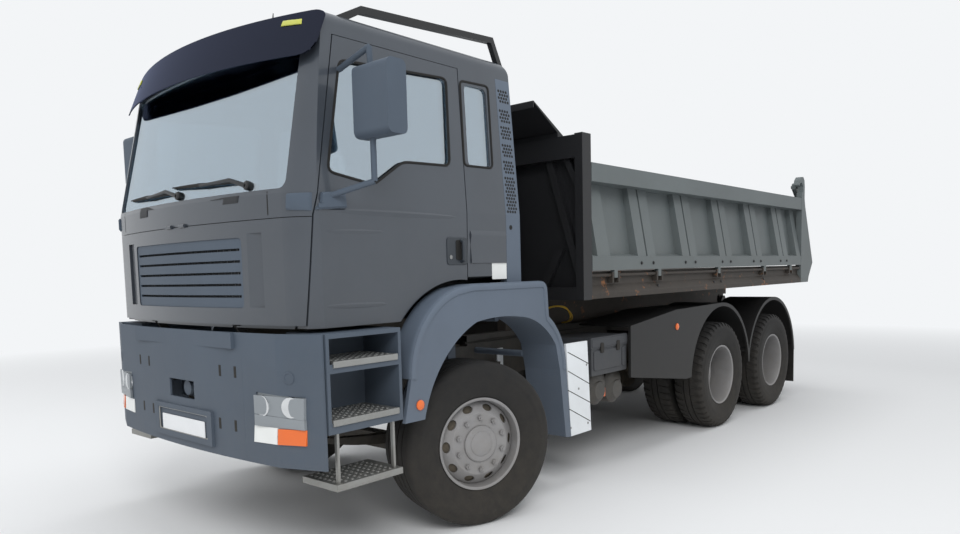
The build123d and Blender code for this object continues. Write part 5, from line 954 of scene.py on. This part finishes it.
# Each plug's black is painted shade for the depth of its hole
hole_parts = []
for number, z in enumerate(rows):
    for y in np.arange(0.332, 0.430, 0.026) + 0.013 * (number % 2):
        hole_parts.append(spun(hole, beside("intake_grilles", y, z), (1, 0, 0), 6))
round_hole = [(-0.006, 0.016), (0.001, 0.016), (0.001, 0.0001)]
hole_parts.append(spun(round_hole, beside("intake_grilles", 0.356, 1.919), (1, 0, 0), 16))
fit("intake_holes", mirrored(hole_parts), black_rubber_and_painted_shade, "cab")
sticker = slab((0.150, 1.574), (0.300, 1.686), 0.006, (1.1195, 1.1215), "yz")
fit("blank_sticker", [sticker], lens_white, "cab")
fold = [(1.116, 1.678), (1.1295, 1.682), (1.129, 1.700), (1.121, 1.800), (1.130, 1.855), (1.130, 1.865),
        (1.116, 1.900)]
fit("side_wall_folds", mirrored([prism(fold, (-0.055, 0.296), "xz")]), cab_paint, "cab")
window_ring = outline_path([(-0.071, 2.297), (-0.048, 2.831), (0.224, 2.840), (0.206, 2.302)], 0.035, 0)
window_ring[:, 0] = [beside("cab_sides", *place)[0] for place in window_ring[:, 1:]]
fit("side_window_rubbers", mirrored([tube(window_ring, 0.008, 6)]), black_rubber_and_painted_shade, "cab")

# %% [markdown]
# ## Front: grille, bumper and lamps
# Behind the grille's slats lies a honeycomb mesh. The bumper has slot pairs, a round tow cap on
# each side and a recess with a bright rim for the number plate, which stays blank.

# %% Honeycomb, plate, slots and caps
cell = [(0.0, 0.0145), (-0.006, 0.0145), (-0.006, 0.0120), (0.0, 0.0120)]
web_parts = []
for row, z in enumerate(np.arange(1.478, 1.835, 0.013)):
    for x in np.arange(-0.60, 0.61, 0.030)[row % 2::2]:
        web_parts.append(spun(cell, (x, -1.405 + 0.091 * (x / 0.96) ** 2, z), (0, 1, 0), 6))
fit("grille_honeycomb", web_parts, dark_plastic, "flap")

plate = slab((-0.26, 0.680), (0.26, 0.790), 0.008, (-1.463, -1.458), "xz")
fit("blank_plate", [plate], plate_white, "chassis", bevel=0.001)
rim_path = outline_path([(-0.300, 0.690), (0.300, 0.690), (0.300, 0.830), (-0.300, 0.830)], 0.02, -1.461)
fit("plate_recess_rim", [tube(rim_path[:, [1, 0, 2]], 0.006, 6)], tread_alloy, "chassis")

# Each slot is an opening, drawn as a black patch that is painted shade
slot_parts = []
for x, z in ((0.440, 1.105), (0.585, 1.105), (0.415, 0.800), (0.567, 0.800)):
    slot = [(x + across, z + up) for across, up in
            ((-0.011, -0.032), (0.011, -0.032), (0.011, 0.032), (-0.011, 0.032))]
    slot_parts.append(patch("bumper", slot, ahead, 0.0010, 4, 6))
fit("bumper_slots", mirrored(slot_parts), black_rubber_and_painted_shade, "chassis")
cap_profile = [(-0.004, 0.034), (0.003, 0.034), (0.005, 0.031), (0.005, 0.026), (0.002, 0.024),
               (0.002, 0.0001)]
cap = spun(cap_profile, ahead("bumper", 1.009, 1.095), outward("bumper", 1.009, 1.095), 32)
fit("tow_caps", mirrored([cap]), trim_plastic, "chassis")

# %% [markdown]
# A headlamp is two shallow bowls of plated plastic on a flat grey housing, with a white and an
# orange lens below. A bowl is a parabola turned about its axis.

# %% Headlamp housings, bowls and lenses
LAMP = ("lamps", "bumper")


def bowl(x, z, radius, depth):
    """A parabola turned about the lamp's own direction, as deep as the square of the radius says."""
    share = np.linspace(1.0, 0.06, 8)
    profile = [(-0.012, radius * 1.14), (0.006, radius * 1.06), (0.005, radius)]
    profile += [(0.004 - depth * (1 - s ** 2), radius * s) for s in share[1:]]
    return spun(profile, ahead(LAMP, x, z, 0.010), outward(LAMP, x, z, 0.02), 28)


def lamp_plates(name, outlines, lift, material):
    """Flat plates over the lamps, on both sides."""
    plates = [patch(LAMP, outline, ahead, lift, 9, 5, 0.014, True) for outline in outlines]
    fit(name, mirrored(plates), material, "chassis")


upper = ((0.766, 0.893), (1.101, 0.877), (1.106, 0.993), (0.765, 0.994))
lower = ((0.765, 0.828), (1.103, 0.826), (1.103, 0.876), (0.766, 0.890))
lamp_plates("headlamp_housings", [upper, lower], 0.002, lamp_grey)
bowls = [bowl(0.821, 0.938, 0.052, 0.003), bowl(1.016, 0.940, 0.052, 0.003)]
fit("headlamp_bowls", mirrored(bowls), reflector, "chassis")
white = ((0.738, 0.733), (0.925, 0.737), (0.925, 0.826), (0.741, 0.823))
orange = ((0.937, 0.739), (1.100, 0.741), (1.104, 0.824), (0.934, 0.821))
lamp_plates("side_lamp_lenses", [white], 0.003, lens_white)
lamp_plates("turn_lenses", [orange], 0.003, marker_orange)

# %% [markdown]
# ## Steps and arches
# The entry steps are pressed alloy with raised teeth round small holes, so shoes grip in mud. The
# wheel arch has a rounded rim, one section carried along arcs through three places each.

# %% Tread teeth, step edges and arch rims
tooth = [(0.0, 0.0125), (0.003, 0.0105), (0.0045, 0.0085), (0.0045, 0.0065), (0.001, 0.0055)]
teeth = []
for top, start, end in ((1.180, -1.225, -0.825), (0.874, -1.240, -0.825), (0.530, -1.235, -0.815)):
    for x in np.arange(0.945, 1.205, 0.040):
        for y in np.arange(start + 0.02, end, 0.045):
            teeth.append(spun(tooth, (x, y, top), (0, 0, 1), 8))
fit("step_teeth", mirrored(teeth), tread_alloy, "chassis")

edge_parts = []
for top, start, end in ((1.180, -1.246, -0.802), (0.874, -1.260, -0.802), (0.530, -1.252, -0.792)):
    nosing = [(1.196, top - 0.034), (1.196, top + 0.002), (1.2255, top + 0.002), (1.2255, top - 0.034)]
    edge_parts.append(prism(rounded(nosing, 0.006), (start, end), "xz"))
fit("step_nosings", mirrored(edge_parts), tread_alloy, "chassis", bevel=0.002)


def arc_through(first, middle, last, steps=12):
    """Points of the circle through three places, from the first to the last by way of the middle."""
    a, b, c = (complex(*place) for place in (first, middle, last))
    w = (c - a) / (b - a)
    centre = a + (b - a) * (w - abs(w) ** 2) / (2j * w.imag)
    angles = np.unwrap(np.angle(np.array([a, b, c]) - centre))
    spot = centre + abs(a - centre) * np.exp(1j * np.linspace(angles[0], angles[2], steps))
    return np.column_stack([spot.real, spot.imag])


# The arch's rolled rim: a rounded section carried along its outer edge, set in under the door
edge = np.concatenate([
    arc_through((-0.700, 1.020), (-0.575, 1.356), (-0.300, 1.528)), [[-0.150, 1.548]],
    np.column_stack([np.linspace(0.0, 0.54, 6), np.full(6, 1.548)]),
    arc_through((0.560, 1.548), (0.606, 1.530), (0.625, 1.490), 6), [[0.640, 1.310]],
    arc_through((0.640, 1.300), (0.790, 1.130), (0.845, 0.905)),
])
run = np.gradient(edge, axis=0)
run /= np.linalg.norm(run, axis=1, keepdims=True)
normal = np.column_stack([-run[:, 1], run[:, 0]])
section = np.array([[1.060, -0.004], [1.060, 0.001], [1.170, 0.003], [1.196, 0.005], [1.212, 0.003],
                    [1.221, -0.003], [1.2265, -0.012], [1.2285, -0.024], [1.2275, -0.038], [1.218, -0.046],
                    [1.190, -0.046], [1.190, -0.006]])
ring = edge[:, None] + normal[:, None] * section[None, :, 1, None]
width = np.broadcast_to(section[None, :, :1], (len(edge), len(section), 1))
rim_faces = grid_faces(len(edge), len(section), wrap_columns=True).tolist()
last = (len(edge) - 1) * len(section)
rim_faces += [list(range(len(section))), list(range(last, last + len(section)))]
rim_points = np.concatenate([width, ring], -1).reshape(-1, 3)
# The rim wears the lighter copy of the moulding plastic, which is painted light
fit("arch_rims", mirrored([(rim_points, rim_faces)]), sky_lit_plastic, "chassis")

# %% [markdown]
# ## Covers, battery box and tanks
# The white panel behind the wheel has slanting joints, thin dark boxes whose outer corners lie on
# it. The battery box has a lid with a lip and clips, and each air tank is a drum with domed ends,
# which a profile turned about its axis gives.

# %% Panel joints, battery box and tanks
joint_parts = []
for y0, z0, y1, z1 in ((0.872, 1.020, 1.160, 0.901), (0.874, 0.880, 1.166, 0.746),
                       (0.876, 0.736, 1.170, 0.602), (0.880, 0.598, 1.166, 0.459)):
    outline = [(y0, z0), (y1, z1), (y1, z1 + 0.007), (y0, z0 + 0.007)]
    ends = [beside("side_covers", y, z)[0] for y, z in outline]
    corners = [(x + lift, y, z) for lift in (0.0006, -0.004) for x, (y, z) in zip(ends, outline)]
    joint_parts.append((np.array(corners), [[0, 1, 2, 3], [7, 6, 5, 4], [0, 4, 5, 1], [1, 5, 6, 2],
                                            [2, 6, 7, 3], [3, 7, 4, 0]]))
fit("cover_joints", mirrored(joint_parts), black_rubber_and_painted_shade, "chassis")
screw = [(-0.002, 0.009), (0.002, 0.009), (0.003, 0.007), (0.003, 0.0001)]
cover_screws = [spun(screw, beside("side_covers", y, z), (1, 0, 0), 12)
                for y, z in ((1.120, 0.905), (1.010, 0.735), (1.130, 0.455), (0.895, 0.455))]
fit("cover_screws", mirrored(cover_screws), bare_steel, "chassis")

BOX_X = 1.165
box_parts = [slab((1.252, 1.000), (1.800, 1.091), 0.015, (BOX_X - 0.030, BOX_X + 0.007), "yz"),
             slab((1.262, 1.014), (1.790, 1.080), 0.012, (BOX_X, BOX_X + 0.012), "yz"),
             slab((1.290, 0.830), (1.690, 0.985), 0.020, (BOX_X - 0.010, BOX_X + 0.008), "yz"),
             slab((1.715, 0.830), (1.765, 0.985), 0.012, (BOX_X - 0.010, BOX_X + 0.008), "yz")]
fit("battery_box_lid", box_parts, box_grey, "chassis", bevel=0.004)
clip_parts = [slab((y - 0.022, 0.965), (y + 0.022, 1.045), 0.01, (BOX_X + 0.006, BOX_X + 0.018), "yz")
              for y in (1.400, 1.640)]
fit("battery_box_clips", clip_parts, black_rubber_and_painted_shade, "chassis", bevel=0.002)

TANK_END = 1.105
tank_parts, band_parts = [], []
for y, z, radius in ((1.491, 0.694, 0.129), (1.745, 0.684, 0.118)):
    dome = [(0.052 * np.sqrt(1 - s * s) - 0.058, (radius + 0.004) * s)
            for s in np.linspace(0, 1, 9)[-2::-1]]
    shell = [(-0.30, radius + 0.001), (-0.060, radius + 0.001), (-0.056, radius + 0.005),
             (-0.050, radius + 0.004)]
    tank_parts.append(spun(shell + dome, (TANK_END, y, z), (1, 0, 0), 48))
    band = [(-0.02, radius), (-0.02, radius + 0.006), (0.02, radius + 0.006), (0.02, radius)]
    for x in (0.66, 0.95):
        band_parts.append(spun(band, (x, y, z), (1, 0, 0), 48))
        band_parts += bolt((x, y, z + radius + 0.004), (0, 0, 1), 0.008, 0.010)
fit("air_tank_ends", tank_parts, tank_black, "chassis", smooth_below=0.5)
fit("air_tank_bands", band_parts, bare_steel, "chassis")
tank_marker = slab((1.523, 0.589), (1.559, 0.663), 0.01, (1.088, 1.104), "yz")
fit("tank_marker", [tank_marker], marker_orange, "chassis", bevel=0.003)
button = [(0.0, 0.030), (0.006, 0.030), (0.010, 0.026), (0.013, 0.014), (0.014, 0.0001)]
guard_x = beside("rear_mudguards", 2.60, 1.085)[0]
marker_parts = [spun(button, place, (1, 0, 0), 24)
                for place in ((1.222, -0.639, 0.863), (guard_x, 2.615, 1.085))]
fit("side_markers", mirrored(marker_parts), marker_orange, "chassis")

# %% [markdown]
# ## Hoses
# A pair of yellow air lines arches out from the frame's rail and back to it, and on each side a
# black bundle follows the frame's top. A hose is a round section along a bent path.

# %% Air lines and bundles
def bend(corners, steps=8):
    """A smooth path through rounded corners, each the quadratic blend of the middles of two runs."""
    corners = np.asarray(corners, dtype=float)
    middles = (corners[1:] + corners[:-1]) / 2
    t = np.linspace(0, 1, steps, endpoint=False)[:, None]
    arcs = [(1 - t) ** 2 * start + 2 * t * (1 - t) * corner + t ** 2 * end
            for start, corner, end in zip(middles, corners[1:], middles[1:])]
    return np.concatenate([corners[:1], *arcs, corners[-1:]])


line_parts = []
for shift in (0.0, 0.030):
    route = [(0.45, 1.30 + shift, 1.155), (0.62, 1.40 + shift, 1.315), (0.70, 1.56 + shift, 1.325),
             (0.70, 1.70 - shift, 1.235), (0.60, 1.82 - shift, 1.175), (0.45, 1.92 - shift, 1.150)]
    line_parts.append(tube(bend(route), 0.0065, 8))
fit("air_lines", line_parts, hose_yellow, "chassis")
bundle = [tube(bend([(0.40 + 0.02 * k, 0.62, 1.075), (0.42 + 0.02 * k, 1.1, 1.07 + 0.01 * k),
                     (0.40 + 0.02 * k, 1.9, 1.075), (0.42, 2.6, 1.07 + 0.01 * k)]), 0.011, 8)
          for k in range(2)]
fit("frame_bundle", mirrored(bundle), black_rubber_and_painted_shade, "chassis")

# %% [markdown]
# ## Body hardware
# Bolts hold the drop sides' hinges and the lugs along the floor's edge. The places of the hinge
# bolts are those of the CAD's lugs. Three lenses and a blank plate finish the back.

# %% Bolts, lenses and plate at the back
wall_bolts = []
for y in (2.000, 2.800, 3.600, 4.400, 5.200):
    for shift in (-0.10, 0.10):
        wall_bolts += bolt(beside("side_wall_left", y + shift, 1.665), (1, 0, 0))
for side, hand in SIDES:
    fit(f"drop_side_bolts_{hand}", on_side(wall_bolts, side), frame_paint, f"drop_side_{hand}")
lug_bolts = []
for y in (2.216, 3.351, 3.515, 4.627):
    lug_bolts += bolt(beside("bed_floor", y, 1.470), (1, 0, 0), 0.013, 0.010)
fit("floor_edge_bolts", mirrored(lug_bolts), frame_paint, "tipper")

for colour, x0, x1, material in (("red", 0.800, 0.905, tail_red), ("amber", 1.007, 1.120, marker_orange),
                                 ("clear", 0.912, 1.000, lens_white)):
    tail_lens = slab((x0, 0.625), (x1, 0.715), 0.010, (5.884, 5.8995), "xz")
    fit(f"tail_lenses_{colour}", mirrored([tail_lens]), material, "chassis", bevel=0.003)
rear_plate = slab((-0.26, 0.476), (0.26, 0.574), 0.008, (5.838, 5.843), "xz")
fit("blank_rear_plate", [rear_plate], lens_white, "chassis", bevel=0.001)

# %% [markdown]
# ## Mirrors and aerial
# A mirror's glass faces back along the truck, so it is a thin rounded pane let into the housing's
# rear face. The aerial is a tapered rod on a rubber foot.

# %% Glass panes and aerial
foot = touch("cab_roof", (0.48, -1.02, 4.0), (0, 0, -1))
aerial = [tube([foot + [0, 0, -0.003], foot + [0, 0.004, 0.05], foot + [0, 0.010, 0.105]],
               [0.011, 0.005, 0.0025], 8),
          spun([(-0.004, 0.022), (0.006, 0.021), (0.018, 0.013), (0.024, 0.0001)], foot, (0, 0, 1), 20)]
fit("aerial", aerial, black_rubber_and_painted_shade, "cab")
panes = [slab((1.2525, 2.455), (1.4775, 2.675), 0.03, (-0.934, -0.9275), "xz"),
         slab((1.2525, 2.3495), (1.4775, 2.4345), 0.02, (-0.934, -0.9275), "xz")]
for side, hand in SIDES:
    fit(f"mirror_panes_{hand}", on_side(panes, side), mirror_glass, f"{hand}_door", bevel=0.002)

# %% [markdown]
# ## Seats
# A truck seat is foam under cloth: a cushion, a back with sewn channels and a small head pad. Each
# pad here is one closed surface, a rounded box whose front swells, in which two numbers give the
# direction from its middle and a power sets how square it is.

# %% Pads and bases
def bent(value, power=0.22):
    """A cosine or sine raised to a small power, its sign kept."""
    return np.sign(value) * np.abs(value) ** power


def pad(middle, half, lean=0.0, crown=0.10, channels=(), depth=0.010, rows=44, columns=72):
    """A superellipsoid: cosines and sines raised to a small power make a box with round edges. The
    front swells by `crown` of its half depth, and each channel is a groove across the width."""
    v = np.linspace(-np.pi / 2, np.pi / 2, rows)[:, None]
    u = np.arange(columns)[None, :] * 2 * np.pi / columns
    x, y, z = bent(np.cos(v)) * bent(np.cos(u)), bent(np.cos(v)) * bent(np.sin(u)), bent(np.sin(v)) + 0 * u
    swell = 1 + crown * (1 - x ** 2) * (1 - z ** 2)
    groove = sum((np.exp(-((z - at) / 0.045) ** 2) for at in channels), 0.0)
    local = np.stack([x * half[0], y * (half[1] * swell - depth * groove), z * half[2]], -1)
    turn_y = local[..., 1] * np.cos(lean) + local[..., 2] * np.sin(lean)
    turn_z = local[..., 2] * np.cos(lean) - local[..., 1] * np.sin(lean)
    points = np.stack([local[..., 0], turn_y, turn_z], -1) + np.array(middle)
    return points.reshape(-1, 3), grid_faces(rows, columns, wrap_columns=True)


for side, hand in SIDES:
    pads = [pad((side * 0.69, -0.085, 1.815), (0.245, 0.325, 0.062), crown=0.02),
            pad((side * 0.69, 0.185, 2.125), (0.235, 0.060, 0.285), lean=0.20, channels=(-0.45, 0.0, 0.45)),
            pad((side * 0.69, 0.268, 2.500), (0.130, 0.045, 0.092), lean=0.10)]
    seat = fit(f"seat_pads_{hand}", pads, seat_cloth, "cab", smooth_below=1.2)
seat_base = [slab((-0.38, 1.400), (0.20, 1.520), 0.03, (0.53, 0.85), "yz"),
             slab((-0.30, 1.515), (0.12, 1.735), 0.04, (0.56, 0.82), "yz")]
bases = fit("seat_bases", mirrored(seat_base), dash_plastic, "cab", bevel=0.005)
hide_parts("seats")
